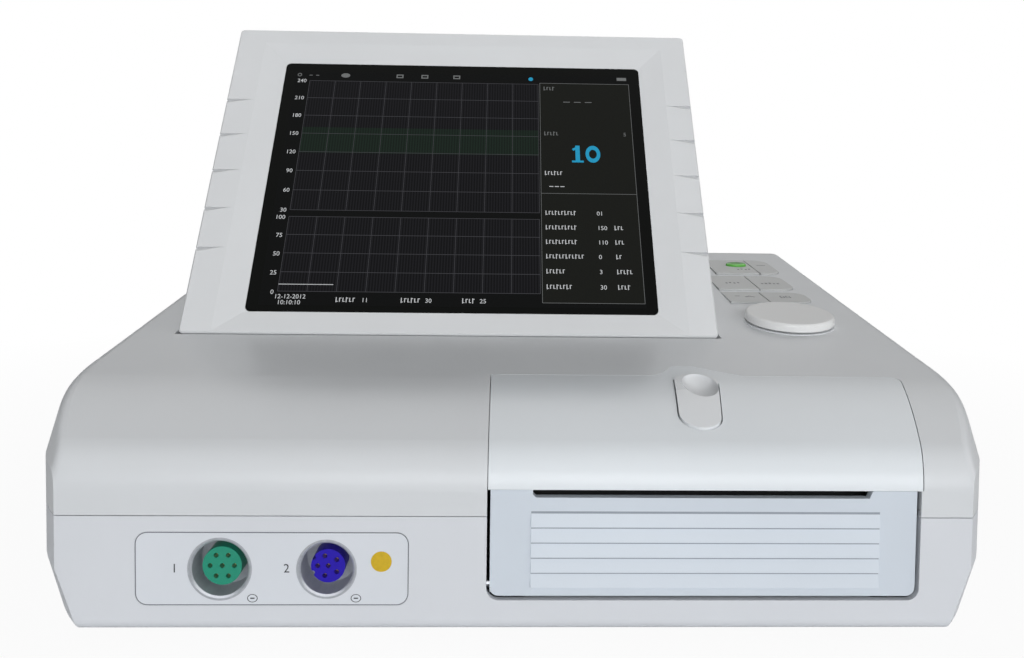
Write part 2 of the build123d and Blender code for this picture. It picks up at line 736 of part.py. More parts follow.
def socket_shell(x, radius, insert_r):
    """Metal socket body: open bore at the front, a flange behind the wall."""
    end = FRONT_Y + SOCKET_L
    shell = rod_y(x, FRONT_Y, end, SOCKET_Z, radius + SOCKET_WALL)
    shell += rod_y(x, FRONT_IN, FRONT_IN + 3, SOCKET_Z, radius + SOCKET_WALL + SOCKET_FLANGE)
    shell -= rod_y(x, FRONT_Y - 1, FRONT_Y + SOCKET_BORE, SOCKET_Z, radius)
    shell -= rod_y(x, FRONT_Y, end + 1, SOCKET_Z, insert_r)
    mouth = shell.edges().filter_by(GeomType.CIRCLE).filter_by(lambda e: abs(e.radius - radius) < 0.01)
    return chamfer(mouth.sort_by(Axis.Y)[0], 0.6)


def contact_places(x, insert_r, count, turn):
    """Contact centres: one in the middle and a ring."""
    ring = insert_r * CONTACT_RING
    places = [(x, SOCKET_Z)]
    for k in range(count):
        angle = math.radians(turn + 360 * k / count)
        places.append((x + ring * math.cos(angle), SOCKET_Z + ring * math.sin(angle)))
    return places


def socket_insert(x, insert_r, count, turn):
    """Coloured moulded insert with a hole at each contact."""
    insert = rod_y(x, FRONT_Y + INSERT_SINK, FRONT_Y + SOCKET_L, SOCKET_Z, insert_r)
    for px, pz in contact_places(x, insert_r, count, turn):
        insert -= rod_y(px, FRONT_Y, FRONT_Y + INSERT_SINK + 8, pz, CONTACT_HOLE_R)
    for turn_key in (150, 205):
        angle = math.radians(turn_key)
        key = rod_y(x + insert_r * math.cos(angle), FRONT_Y, FRONT_Y + SOCKET_BORE,
                    SOCKET_Z + insert_r * math.sin(angle), 0.8)
        if x == BLUE_X:
            insert -= key
    return insert


def socket_contacts():
    """Female contacts standing in the holes of both inserts."""
    contacts = []
    for x, insert_r, count, turn in ((GREEN_X, GREEN_INSERT_R, 6, 0), (BLUE_X, BLUE_INSERT_R, 5, 36)):
        for px, pz in contact_places(x, insert_r, count, turn):
            contacts.append(rod_y(px, FRONT_Y + INSERT_SINK + 2.5, FRONT_Y + INSERT_SINK + 8, pz, CONTACT_R))
    return contacts


# ---------------------------------------------------------------- printer
def printer_cover():
    """Smooth cover over the brow, with a lapped flange under the casing's edge."""
    sheet = (SKIN - HOLLOW) & cover_prism(-COVER_GAP)
    deep = casing_form(WALL + COVER_GAP + COVER_FLANGE_T)
    ring = cover_prism(COVER_LAP) - cover_prism(-COVER_LAP)
    flange = (casing_form(WALL + COVER_GAP) - deep) & ring
    neck = (casing_form(WALL - 0.3) - deep) & (cover_prism(-COVER_GAP - 0.4) - cover_prism(-COVER_LAP))
    cover = sheet + flange + neck
    cover -= extrude(button_plan(LATCH_GAP), REACH / 2)
    cover &= slab(COVER_Z, LEAN_TOP_Z)
    return cover


def latch_button():
    """Teardrop button with a finger dish, standing just proud of the cover."""
    button = extrude(button_plan(0), REACH / 2) & casing_form(-LATCH_PROUD)
    centre_y = -116.5
    dish = Pos(STEM_X + 2.2, centre_y, deck_z(centre_y) + 1.7) * Rot(DECK_SLOPE, 0, 0)
    button -= dish * scale(Sphere(1), by=(7.0, 12.0, 3.6))
    return button


def latch_yoke():
    """Stem, cross bar and two arms that reach the lugs on the paper door."""
    yoke = block(YOKE_LEFT, YOKE_RIGHT, YOKE_FRONT, YOKE_FRONT + YOKE_D, YOKE_Z, YOKE_Z + YOKE_T)
    yoke += block(STEM_X - STEM_W / 2, STEM_X + STEM_W / 2, YOKE_FRONT, STEM_Y + STEM_W / 2,
                  YOKE_Z, YOKE_Z + YOKE_T)
    yoke += block(STEM_X - STEM_W / 2, STEM_X + STEM_W / 2, STEM_Y - STEM_W / 2, STEM_Y + STEM_W / 2,
                  YOKE_Z, LATCH_BASE_Z)
    for x0 in (YOKE_LEFT, YOKE_RIGHT - ARM_W):
        yoke += block(x0, x0 + ARM_W, YOKE_FRONT, YOKE_FRONT + ARM_T, ARM_END_Z, YOKE_Z)
    return yoke


def latch_spring():
    """Compression spring between the print frame and the latch yoke."""
    low = BRIDGE_TOP + SPRING_WIRE + FIT
    height = YOKE_Z - BRIDGE_TOP - 2 * SPRING_WIRE - 2 * FIT
    path = Pos(STEM_X, STEM_Y, low) * Helix(SPRING_PITCH, height, SPRING_R)
    section = Plane(origin=path @ 0, z_dir=path % 0) * Circle(SPRING_WIRE)
    return sweep(section, path=path, is_frenet=True)


def paper_door():
    """Ribbed drop-down door with the paper slot in its top edge."""
    panel = block(DOOR_LEFT, DOOR_RIGHT, DOOR_FACE_Y, DOOR_AXIS_Y, DOOR_LOW, DOOR_HIGH)
    low = panel.edges().filter_by(Axis.Y).sort_by(Axis.Z)[:2]
    panel = fillet(low, BAY_CORNER_R - DOOR_GAP)
    for k in range(RIB_COUNT):
        z = RIB_FIRST_Z + RIB_PITCH * k
        with BuildSketch(Plane.YZ.offset(RIB_LEFT)) as rib:
            Polygon((DOOR_FACE_Y + 0.5, z), (FRONT_Y, z), (DOOR_FACE_Y, z + RIB_H),
                    (DOOR_FACE_Y + 0.5, z + RIB_H),
                    align=None)
        panel += extrude(rib.sketch, RIB_RIGHT - RIB_LEFT)
    with BuildSketch(Plane.XZ.offset(-DOOR_AXIS_Y - 1)) as notch:
        high = DOOR_HIGH + 1
        Polygon((SLOT_LEFT, high), (SLOT_LEFT, SLOT_Z + 1), (SLOT_LEFT + 1, SLOT_Z),
                (SLOT_RIGHT - 1.5, SLOT_Z),
                (SLOT_RIGHT, high), align=None)
    panel -= extrude(notch.sketch, DOOR_T + DOOR_RECESS + 2)
    for x0 in (DOOR_LEFT, DOOR_RIGHT - DOOR_BARREL_L):
        panel += rod_x(x0, x0 + DOOR_BARREL_L, DOOR_AXIS_Y, DOOR_AXIS_Z, DOOR_BARREL_R)
        panel -= rod_x(x0 - 1, x0 + DOOR_BARREL_L + 1, DOOR_AXIS_Y, DOOR_AXIS_Z, DOOR_PIN_R + RUN)
    for x0 in (YOKE_LEFT, YOKE_RIGHT - ARM_W):
        middle = x0 + ARM_W / 2
        panel += block(middle - LUG_W / 2, middle + LUG_W / 2, DOOR_AXIS_Y - 0.1, DOOR_AXIS_Y + LUG_T,
                       LUG_Z, LUG_Z + LUG_H)
    return panel


def door_hinge_pins():
    """Two pins from the bay walls into the door's barrels."""
    left = BAY_LEFT - WALL + 0.3
    right = BAY_RIGHT + WALL - 0.3
    reach = DOOR_GAP + DOOR_BARREL_L - 0.5
    return [rod_x(left, BAY_LEFT + reach, DOOR_AXIS_Y, DOOR_AXIS_Z, DOOR_PIN_R),
            rod_x(BAY_RIGHT - reach, right, DOOR_AXIS_Y, DOOR_AXIS_Z, DOOR_PIN_R)]


def paper_tray():
    """Open tray on the casing floor for the folded chart paper."""
    x0 = PAPER_X - PAPER_W / 2 - TRAY_GAP - TRAY_WALL
    x1 = PAPER_X + PAPER_W / 2 + TRAY_GAP + TRAY_WALL
    y1 = FRAME_FRONT + PAPER_L + 2 * TRAY_GAP + 2 * TRAY_WALL
    tray = block(x0, x1, FRAME_FRONT, y1, FLOOR_Z, FLOOR_Z + TRAY_H)
    tray -= block(x0 + TRAY_WALL, x1 - TRAY_WALL, FRAME_FRONT + TRAY_WALL, y1 - TRAY_WALL,
                  FLOOR_Z + TRAY_WALL, FLOOR_Z + TRAY_H + 1)
    tray -= block(x0 + 12, x1 - 12, FRAME_FRONT - 1, FRAME_FRONT + TRAY_WALL + 0.1,
                  FLOOR_Z + 6, FLOOR_Z + TRAY_H + 1)
    return tray


def paper_pack():
    """Fan-folded pack of chart paper."""
    y0 = FRAME_FRONT + TRAY_WALL + TRAY_GAP
    z0 = FLOOR_Z + TRAY_WALL
    return block(PAPER_X - PAPER_W / 2, PAPER_X + PAPER_W / 2, y0, y0 + PAPER_L, z0, z0 + PAPER_H)


def print_frame():
    """Sheet-metal side plates joined by a bridge above the paper."""
    frame = block(FRAME_LEFT, FRAME_RIGHT, FRAME_FRONT + 2, FRAME_BACK, FRAME_BRIDGE_Z, BRIDGE_TOP)
    for x0 in (FRAME_LEFT, FRAME_RIGHT - FRAME_T):
        frame += block(x0, x0 + FRAME_T, FRAME_FRONT, FRAME_BACK, FLOOR_Z, FRAME_TOP)
    frame -= rod_x(FRAME_LEFT - 1, FRAME_RIGHT + 1, PLATEN_Y, PLATEN_Z, BUSH_R)
    frame -= rod_x(FRAME_RIGHT - FRAME_T - 1, FRAME_RIGHT + 1, IDLER_Y, PLATEN_Z, IDLER_PIN_R)
    frame -= rod_x(FRAME_RIGHT - FRAME_T - 1, FRAME_RIGHT + 1, PINION_Y, PLATEN_Z, 3.0)
    return frame


def thermal_head():
    """Ceramic print head on its heat sink, over the platen."""
    left = FRAME_LEFT + FRAME_T
    right = FRAME_RIGHT - FRAME_T
    head = block(left, right, HEAD_FRONT, HEAD_BACK, HEAD_Z, HEAD_Z + HEAD_T)
    for k in range(6):
        y = HEAD_FRONT + 3 + 1.8 * k
        head -= block(left + 8, right - 8, y, y + 0.9, HEAD_Z + HEAD_T - 0.9, HEAD_Z + HEAD_T + 1)
    return head


def platen_bushes():
    """Two flanged bushes that carry the platen shaft."""
    bushes = []
    for x0, step in ((FRAME_LEFT, -1), (FRAME_RIGHT - FRAME_T, 1)):
        bush = rod_x(x0, x0 + FRAME_T, PLATEN_Y, PLATEN_Z, BUSH_R)
        inner = x0 + FRAME_T if step < 0 else x0 - 1.0
        bush += rod_x(inner, inner + 1.0, PLATEN_Y, PLATEN_Z, BUSH_R + 1.2)
        bushes.append(bush - rod_x(x0 - 5, x0 + 5, PLATEN_Y, PLATEN_Z, SHAFT_R + RUN))
    return bushes


def platen_shaft():
    """Steel shaft of the platen roller, running out to its gear."""
    return rod_x(FRAME_LEFT - 1.5, GEAR_X + GEAR_W + 0.5, PLATEN_Y, PLATEN_Z, SHAFT_R)


def platen_rubber():
    """Rubber sleeve that drives the paper."""
    sleeve = rod_x(SLOT_LEFT - 1.2, SLOT_RIGHT + 1.2, PLATEN_Y, PLATEN_Z, PLATEN_R)
    return sleeve - rod_x(SLOT_LEFT - 5, SLOT_RIGHT + 5, PLATEN_Y, PLATEN_Z, SHAFT_R)


def spur_gear(teeth, y, bore, turn):
    """Involute spur gear about an axis along X; turn is the angle of one tooth from +Y."""
    pitch_r = GEAR_MODULE * teeth / 2
    pressure = math.radians(PRESSURE)
    base_r = pitch_r * math.cos(pressure)
    tip_r = pitch_r + ADDENDUM * GEAR_MODULE
    root_r = pitch_r - DEDENDUM * GEAR_MODULE
    base_half = math.pi / 2 / teeth - BACKLASH / 2 / pitch_r + math.tan(pressure) - pressure

    def half_angle(r):
        if r <= base_r:
            return base_half
        roll = math.acos(base_r / r)
        return base_half - math.tan(roll) + roll

    start = max(base_r, root_r)
    radii = [root_r] + [start + (tip_r - start) * k / 4 for k in range(5)]
    points = []
    for tooth in range(teeth):
        middle = math.radians(turn) + 2 * math.pi * tooth / teeth
        rising = [(r, middle - half_angle(r)) for r in radii]
        falling = [(r, middle + half_angle(r)) for r in reversed(radii)]
        points += [(r * math.cos(a), r * math.sin(a)) for r, a in rising + falling]
    with BuildSketch(Plane(origin=(GEAR_X, y, PLATEN_Z), x_dir=(0, 1, 0), z_dir=(1, 0, 0))) as wheel:
        Polygon(*points, align=None)
        Circle(bore, mode=Mode.SUBTRACT)
    return extrude(wheel.sketch, GEAR_W)


def idler_pin():
    """Fixed pin that the idler gear runs on."""
    return (rod_x(FRAME_RIGHT - FRAME_T, GEAR_X + GEAR_W + 0.6, IDLER_Y, PLATEN_Z, IDLER_PIN_R)
            + rod_x(FRAME_RIGHT, FRAME_RIGHT + 0.7, IDLER_Y, PLATEN_Z, IDLER_PIN_R + 1.2)
            + rod_x(GEAR_X + GEAR_W + 0.2, GEAR_X + GEAR_W + 0.9, IDLER_Y, PLATEN_Z, IDLER_PIN_R + 0.9))


def feed_motor():
    """Stepper motor on the inside of the right frame plate."""
    face = FRAME_RIGHT - FRAME_T
    motor = rod_x(face - MOTOR_L, face, PINION_Y, PLATEN_Z, MOTOR_R)
    motor += rod_x(face, FRAME_RIGHT, PINION_Y, PLATEN_Z, 2.9)
    motor += block(face - 1.2, face, PINION_Y - MOTOR_R - 2.5, PINION_Y + MOTOR_R + 2.5,
                   PLATEN_Z - 3, PLATEN_Z + 3)
    return motor - rod_x(face - MOTOR_L + 3, FRAME_RIGHT + 1, PINION_Y, PLATEN_Z, MOTOR_SHAFT_R + RUN)


def motor_pinion():
    """Pinion with the motor's shaft."""
    pinion = spur_gear(PINION_TEETH, PINION_Y, MOTOR_SHAFT_R, 180)
    shaft_end = FRAME_RIGHT - FRAME_T - MOTOR_L + 4
    return pinion + rod_x(shaft_end, GEAR_X + GEAR_W, PINION_Y, PLATEN_Z, MOTOR_SHAFT_R)


# ---------------------------------------------------------------- screen
def glass_slab(w0, w1, grow):
    """Rounded slab with the glass's outline."""
    slab_ = block(GLASS_X - GLASS_W / 2 - grow, GLASS_X + GLASS_W / 2 + grow, GLASS_V - grow,
                  GLASS_V + GLASS_L + grow, w0, w1)
    return SCREEN * rounded(slab_, Axis.Z, GLASS_R)


def bezel_bevel():
    """Sloped border between the flat front band and the glass."""
    middle = GLASS_V + GLASS_L / 2
    with BuildSketch(Plane.XY) as wide:
        with Locations((GLASS_X, middle + (BEVEL_SIDE - BEVEL_LOW) / 2)):
            Rectangle(GLASS_W + 2 * BEVEL_SIDE, GLASS_L + BEVEL_SIDE + BEVEL_LOW)
    with BuildSketch(Plane.XY.offset(-GLASS_SINK)) as narrow:
        with Locations((GLASS_X, middle)):
            Rectangle(GLASS_W, GLASS_L)
    return SCREEN * loft([wide.sketch, narrow.sketch], ruled=True)


def grip_grooves():
    """Five tapering finger grooves up each side of the bezel."""
    tilt = math.degrees(math.atan(GROOVE_DEEP / GROOVE_RUN))
    cuts = []
    for k in range(GROOVE_COUNT):
        v = GROOVE_FIRST + GROOVE_PITCH * k
        with BuildSketch(Plane.YZ) as notch:
            Polygon((GROOVE_H * 0.45, GROOVE_DEEP), (GROOVE_H * 0.45, -0.2), (GROOVE_H * 0.4, 0),
                    (-GROOVE_H * 0.55, GROOVE_DEEP), align=None)
        wedge = extrude(notch.sketch, GROOVE_RUN * 2)
        for side in (1, -1):
            place = Pos(side * SCREEN_W / 2, v, -GROOVE_DEEP) * Rot(0, 0 if side < 0 else 180, 0)
            lean = Rot(0, -tilt if side < 0 else -tilt, 0)
            if side > 0:
                mirrored = mirror(wedge, about=Plane.YZ)
                cuts.append(SCREEN * (Pos(SCREEN_W / 2, v, -GROOVE_DEEP) * Rot(0, tilt, 0) * mirrored))
            else:
                cuts.append(SCREEN * (Pos(-SCREEN_W / 2, v, -GROOVE_DEEP) * lean * wedge))
    return cuts


def hinge_slots():
    """Openings in the foot of the screen housing for the two hinge brackets."""
    slots = []
    reach = HINGE_BARREL_L / 2 + 0.6
    for side in (-1, 1):
        u = side * HINGE_SPREAD
        slots.append(screen_block(u - reach, u + reach, -1, SCREEN_WALL + 0.5, -SCREEN_T - 1, -8))
        slots.append(screen_block(u - reach, u + reach, -1, HINGE_UP + HINGE_BARREL_R + 1.4,
                                  -SCREEN_T - 1, -SCREEN_T + SCREEN_WALL + 0.5))
    return slots


def boss_places():
    """Screw posts that join the two halves of the screen housing."""
    return [(side * 104.5, v) for side in (-1, 1) for v in (45.0, 105.0, 165.0)]


def display_bezel():
    """Front frame of the screen with the window, bevel and side grooves."""
    half = SCREEN_W / 2
    shell = block(-half, half, 0, SCREEN_L, -HINGE_IN, 0)
    shell = rounded(shell, Axis.Z, 2.0)
    shell = SCREEN * chamfer(shell.faces().sort_by(Axis.Z)[-1].edges(), 0.7)
    t = SCREEN_WALL
    shell -= screen_block(-half + t, half - t, t, SCREEN_L - t, -HINGE_IN - 1, -BEZEL_T)
    ledge = GLASS_SINK + GLASS_T
    shell += glass_slab(-ledge - 2, -BEZEL_T + 0.5, 2.5)
    shell -= bezel_bevel()
    shell -= glass_slab(-ledge, 1, FIT)
    shell -= glass_slab(-ledge - 3, 1, -GLASS_LEDGE)
    for u, v in boss_places():
        post = SCREEN * rod_z(u, v, -HINGE_IN, -BEZEL_T + 0.5, 3.5)
        shell += post - SCREEN * rod_z(u, v, -HINGE_IN - 1, -BEZEL_T - 1, 1.2)
    for cut in grip_grooves() + hinge_slots():
        shell -= cut
    return shell


def display_rear_cover():
    """Rear shell of the screen with vents and screw posts."""
    half = SCREEN_W / 2
    shell = block(-half, half, 0, SCREEN_L, -SCREEN_T, -HINGE_IN)
    shell = rounded(shell, Axis.Z, 2.0)
    shell = SCREEN * chamfer(shell.faces().sort_by(Axis.Z)[0].edges(), 1.4)
    t = SCREEN_WALL
    shell -= screen_block(-half + t, half - t, t, SCREEN_L - t, -SCREEN_T + t, -HINGE_IN + 1)
    for u, v in boss_places():
        shell += SCREEN * rod_z(u, v, -SCREEN_T + t - 0.5, -HINGE_IN, 3.5)
        shell -= SCREEN * rod_z(u, v, -SCREEN_T - 1, -HINGE_IN + 1, 1.3)
        shell -= SCREEN * rod_z(u, v, -SCREEN_T - 1, -SCREEN_T + 3, 2.8)
    for k in range(8):
        v = SCREEN_L - 26 - 5 * k
        shell -= screen_block(-60, 60, v, v + 2.2, -SCREEN_T - 1, -SCREEN_T + t + 1)
    for cut in hinge_slots():
        shell -= cut
    return shell


def display_glass():
    """Black-bordered window, flush with the foot of the bevel."""
    return glass_slab(-GLASS_SINK - GLASS_T, -GLASS_SINK, 0)


def lcd_module():
    """Colour panel in its metal frame, behind the glass."""
    top = -(GLASS_SINK + GLASS_T + 2)
    u0 = GLASS_X - LCD_W / 2
    v0 = GLASS_V + (GLASS_L - LCD_L) / 2
    panel = screen_block(u0, u0 + LCD_W, v0, v0 + LCD_L, top - LCD_T, top)
    panel += screen_block(u0 + 20, u0 + LCD_W - 20, v0 + 20, v0 + 60, top - LCD_T - 2, top - LCD_T)
    return panel


def display_screws():
    """Six screws through the rear cover into the bezel's posts."""
    screws = []
    for u, v in boss_places():
        body = rod_z(u, v, -SCREEN_T + 1, -HINGE_IN + 6, 1.2) + rod_z(u, v, -SCREEN_T + 1, -SCREEN_T + 3, 2.5)
        body -= block(u - 1.6, u + 1.6, v - 0.3, v + 0.3, -SCREEN_T, -SCREEN_T + 1.8)
        screws.append(SCREEN * body)
    return screws


# ---------------------------------------------------------------- screen hinge
def hinge_brackets():
    """Two barrels on webs standing on the floor of the trough."""
    brackets = []
    floor = rod_x(-REACH / 2, REACH / 2, HINGE_Y, HINGE_Z, TROUGH_R)
    for x in HINGE_XS:
        x0 = x - HINGE_BARREL_L / 2
        x1 = x + HINGE_BARREL_L / 2
        web = block(x0, x1, HINGE_Y - HINGE_WEB_T / 2, HINGE_Y + HINGE_WEB_T / 2,
                    HINGE_Z - TROUGH_R - 2, HINGE_Z)
        bracket = (web & floor) + rod_x(x0, x1, HINGE_Y, HINGE_Z, HINGE_BARREL_R)
        brackets.append(bracket - rod_x(x0 - 1, x1 + 1, HINGE_Y, HINGE_Z, HINGE_PIN_R + RUN))
    return brackets


def hinge_plates():
    """Ears inside the screen housing that hold the ends of each hinge pin."""
    plates = []
    inner = HINGE_BARREL_L / 2 + HINGE_EAR_GAP
    base = -SCREEN_T + SCREEN_WALL
    for side in (-1, 1):
        u = side * HINGE_SPREAD
        plate = block(u - inner - HINGE_EAR_T, u + inner + HINGE_EAR_T, HINGE_UP + 12, HINGE_UP + 28,
                      base, base + 2)
        for u0 in (u - inner - HINGE_EAR_T, u + inner):
            plate += block(u0, u0 + HINGE_EAR_T, HINGE_UP - 5, HINGE_UP + 28, base, -HINGE_IN)
            plate += rod_x(u0, u0 + HINGE_EAR_T, HINGE_UP, -HINGE_IN, 5.0)
            plate -= rod_x(u0 - 1, u0 + HINGE_EAR_T + 1, HINGE_UP, -HINGE_IN, HINGE_PIN_R)
        plates.append(SCREEN * plate)
    return plates


def hinge_pins():
    """Steel pins, tight in the ears and turning in the barrels."""
    reach = HINGE_BARREL_L / 2 + HINGE_EAR_GAP + HINGE_EAR_T
    return [rod_x(x - reach, x + reach, HINGE_Y, HINGE_Z, HINGE_PIN_R) for x in HINGE_XS]


# ---------------------------------------------------------------- keys and knob
def key(row, column):
    """Key cap with a raised front edge and a flange that keeps it in."""
    front, rear, left, split, right = ROWS[row]
    t0 = deck_t(front)
    t1 = deck_t(rear)
    keep = row_hole(row, 0, KEY_LOW - 1, WALL)
    lap = row_hole(row, KEY_FLANGE, KEY_LOW, KEY_LOW + KEY_FLANGE_T)
    with BuildSketch(Plane.YZ.offset(left)) as wedge:
        Polygon((t0, KEY_LOW), (t0, KEY_RISE), (t1, 0), (t1, KEY_LOW), align=None)
    cap = (DECK * extrude(wedge.sketch, right - left)) & keep
    cap = cap + lap
    if column == "left":
        half = block(left - 5, split - KEY_GAP / 2, t0 - 5, t1 + 5, KEY_LOW - 2, WALL)
    else:
        half = block(split + KEY_GAP / 2, right + 5, t0 - 5, t1 + 5, KEY_LOW - 2, WALL)
    cap = cap & (DECK * half)
    if (row, column) == ("rear", "left"):
        cap -= lens_form(SLIDE_GAP / 3)
    return cap


def lens_form(grow):
    """Oval prism of the lens, let into its key."""
    with BuildSketch(Plane.XY.offset(-1.5)) as oval:
        with Locations((LENS_X, deck_t(LENS_Y))):
            Ellipse(LENS_L / 2 + grow, LENS_W / 2 + grow)
    return DECK * extrude(oval.sketch, 5.0)


def indicator_lens():
    """Green oval lens standing a little above its key, with a rounded rim."""
    front, rear, left, _, right = ROWS["rear"]
    t0 = deck_t(front)
    t1 = deck_t(rear)
    with BuildSketch(Plane.YZ.offset(left)) as wedge:
        Polygon((t0, -2), (t0, KEY_RISE + LENS_RISE), (t1, LENS_RISE), (t1, -2), align=None)
    lens = lens_form(0) & (DECK * extrude(wedge.sketch, right - left))
    return fillet(lens.faces().sort_by(Axis.Z)[-1].edges(), LENS_EDGE_R)


def key_mat():
    """Silicone mat under the keys."""
    _, _, left, _, _ = ROWS["front"]
    front = ROWS["front"][0]
    rear = ROWS["rear"][1]
    return deck_block(left - 2, BOARD_RIGHT - 6, front - 2, rear + 2, BOARD_TOP, MAT_TOP)


def key_board():
    """Circuit board for the keys and the encoder, hung from posts under the deck."""
    board = deck_block(BOARD_LEFT, BOARD_RIGHT, BOARD_FRONT, BOARD_REAR, BOARD_LOW, BOARD_TOP)
    return board - deck_rod(KNOB_X, KNOB_Y, BOARD_LOW - 1, BOARD_TOP + 1, BUSHING_R)


def encoder_body():
    """Rotary encoder under the board with its threaded bushing."""
    half = ENCODER_W / 2
    body = deck_block(KNOB_X - half, KNOB_X + half, KNOB_Y - half, KNOB_Y + half, ENCODER_LOW, BOARD_LOW)
    body += deck_rod(KNOB_X, KNOB_Y, BOARD_LOW - 0.1, -WALL - 0.4, BUSHING_R)
    return body - deck_rod(KNOB_X, KNOB_Y, ENCODER_LOW + 0.8, 0, SPINDLE_R + RUN)


def encoder_plunger():
    """Push plunger under the spindle."""
    low = ENCODER_LOW + 0.8 + KNOB_TRAVEL + SLIDE_GAP
    return deck_rod(KNOB_X, KNOB_Y, low, low + PLUNGER_L, SPINDLE_R)


def encoder_shaft():
    """Spindle that the knob is pressed on."""
    low = ENCODER_LOW + 0.8 + KNOB_TRAVEL + SLIDE_GAP + PLUNGER_L
    return deck_rod(KNOB_X, KNOB_Y, low, KNOB_BORE_TOP, SPINDLE_R)


def control_knob():
    """Large flat knob with a rounded rim over a narrower neck."""
    disc = rod_z(0, 0, KNOB_RIM_LOW, KNOB_TOP, KNOB_R)
    disc = fillet(disc.faces().sort_by(Axis.Z)[-1].edges(), 1.4)
    disc = chamfer(disc.faces().sort_by(Axis.Z)[0].edges(), 0.5)
    knob = disc + rod_z(0, 0, KNOB_NECK_LOW, KNOB_RIM_LOW + 1, KNOB_NECK_R)
    knob -= rod_z(0, 0, KNOB_NECK_LOW - 1, KNOB_BORE_TOP, SPINDLE_R)
    return DECK * (Pos(KNOB_X, deck_t(KNOB_Y), 0) * knob)


# ---------------------------------------------------------------- boards and supplies
def main_board():
    """Main circuit board on four posts, with its larger parts."""
    z = FLOOR_Z + MAIN_UP
    board = block(MAIN_LEFT, MAIN_RIGHT, MAIN_FRONT, MAIN_BACK, z, z + BOARD_T)
    top = z + BOARD_T
    board += block(MAIN_LEFT + 30, MAIN_LEFT + 58, MAIN_FRONT + 50, MAIN_FRONT + 78, top, top + 2.5)
    board += block(MAIN_LEFT + 10, MAIN_LEFT + 70, MAIN_BACK - 16, MAIN_BACK - 6, top, top + 8)
    for k in range(4):
        board += rod_z(MAIN_RIGHT - 12, MAIN_FRONT + 20 + 14 * k, top, top + 12, 5)
    return board


def power_supply():
    """Enclosed mains supply screwed to the floor."""
    box = block(SUPPLY_LEFT, SUPPLY_RIGHT, SUPPLY_FRONT, SUPPLY_BACK, FLOOR_Z, FLOOR_Z + SUPPLY_H)
    box = rounded(box, Axis.Z, 2)
    for k in range(9):
        x = SUPPLY_LEFT + 12 + 10 * k
        lid = FLOOR_Z + SUPPLY_H
        box -= block(x, x + 4, SUPPLY_FRONT + 12, SUPPLY_BACK - 12, lid - 1, lid + 1)
    return box


def speaker():
    """Loudspeaker facing down over the slots in the floor."""
    cone = rod_z(SPEAKER_X, SPEAKER_Y, FLOOR_Z, FLOOR_Z + 3, SPEAKER_R)
    cone -= rod_z(SPEAKER_X, SPEAKER_Y, FLOOR_Z - 1, FLOOR_Z + 1.5, SPEAKER_R - 4)
    cone += rod_z(SPEAKER_X, SPEAKER_Y, FLOOR_Z + 3, FLOOR_Z + 8, SPEAKER_R * 0.72)
    return cone + rod_z(SPEAKER_X, SPEAKER_Y, FLOOR_Z + 8, FLOOR_Z + SPEAKER_H, SPEAKER_R * 0.52)


# ---------------------------------------------------------------- rear connectors
def fuse_heights():
    """Heights of the two fuse holders."""
    return (BACK_Z + 7.2, BACK_Z - 7.2)


def mains_inlet():
    """Appliance inlet with its flange on the rear panel."""
    w = INLET_W / 2
    h = INLET_H / 2
    inlet = block(INLET_X - w, INLET_X + w, BACK_Y - 24, BACK_Y, BACK_Z - h, BACK_Z + h)
    flange = block(INLET_X - INLET_FLANGE_W / 2, INLET_X + INLET_FLANGE_W / 2, BACK_Y, BACK_Y + 2.5,
                   BACK_Z - h - 1.5, BACK_Z + h + 1.5)
    inlet += rounded(flange, Axis.Y, 8)
    cavity = block(INLET_X - w + 1.4, INLET_X + w - 1.4, BACK_Y - 15, BACK_Y + 3,
                   BACK_Z - h + 1.7, BACK_Z + h - 1.7)
    top = cavity.edges().filter_by(Axis.Y).sort_by(Axis.Z)[2:]
    inlet -= chamfer(top, 5)
    for side in (-1, 1):
        inlet -= rod_y(INLET_X + side * 20, BACK_Y - 1, BACK_Y + 3, BACK_Z, 1.7)
    return inlet


def mains_inlet_pins():
    """Three flat contact blades of the inlet."""
    pins = []
    for dx, dz in ((-7.0, -2.0), (7.0, -2.0), (0.0, 3.0)):
        x, z = INLET_X + dx, BACK_Z + dz
        pin = block(x - 1, x + 1, BACK_Y - 15, BACK_Y - 1, z - 2, z + 2)
        pins.append(chamfer(pin.faces().sort_by(Axis.Y)[-1].edges(), 0.5))
    return pins


def power_switch_frame():
    """Bezel and body of the rocker switch."""
    w = SWITCH_W / 2
    h = SWITCH_H / 2
    frame = block(SWITCH_X - w, SWITCH_X + w, BACK_Y - 16, BACK_Y, BACK_Z - h + 1.5, BACK_Z + h - 1.5)
    frame += block(SWITCH_X - w - 1.5, SWITCH_X + w + 1.5, BACK_Y, BACK_Y + 2, BACK_Z - h, BACK_Z + h)
    frame -= block(SWITCH_X - ROCKER_W / 2 - 0.4, SWITCH_X + ROCKER_W / 2 + 0.4, BACK_Y - 8, BACK_Y + 3,
                   BACK_Z - h + 2.2, BACK_Z + h - 2.2)
    return frame - rod_x(SWITCH_X - w + 0.6, SWITCH_X + w - 0.6, BACK_Y, BACK_Z, 1.55)


def power_rocker():
    """Rocker tilted to its off side, on two stub axles."""
    low = SWITCH_H / 2 - 3.0
    with BuildSketch(Plane.YZ.offset(SWITCH_X - ROCKER_W / 2)) as side:
        Polygon((2.8, -low), (1.4, 0), (2.8, low), (-1, low), (-5.5, 7), (-5.5, -7), (-1, -low), align=None)
    rocker = extrude(side.sketch, ROCKER_W)
    reach = SWITCH_W / 2 - 0.8
    rocker += rod_x(SWITCH_X - reach, SWITCH_X + reach, 0, 0, 1.5)
    return Pos(0, BACK_Y, BACK_Z) * Rot(-ROCKER_TILT, 0, 0) * rocker


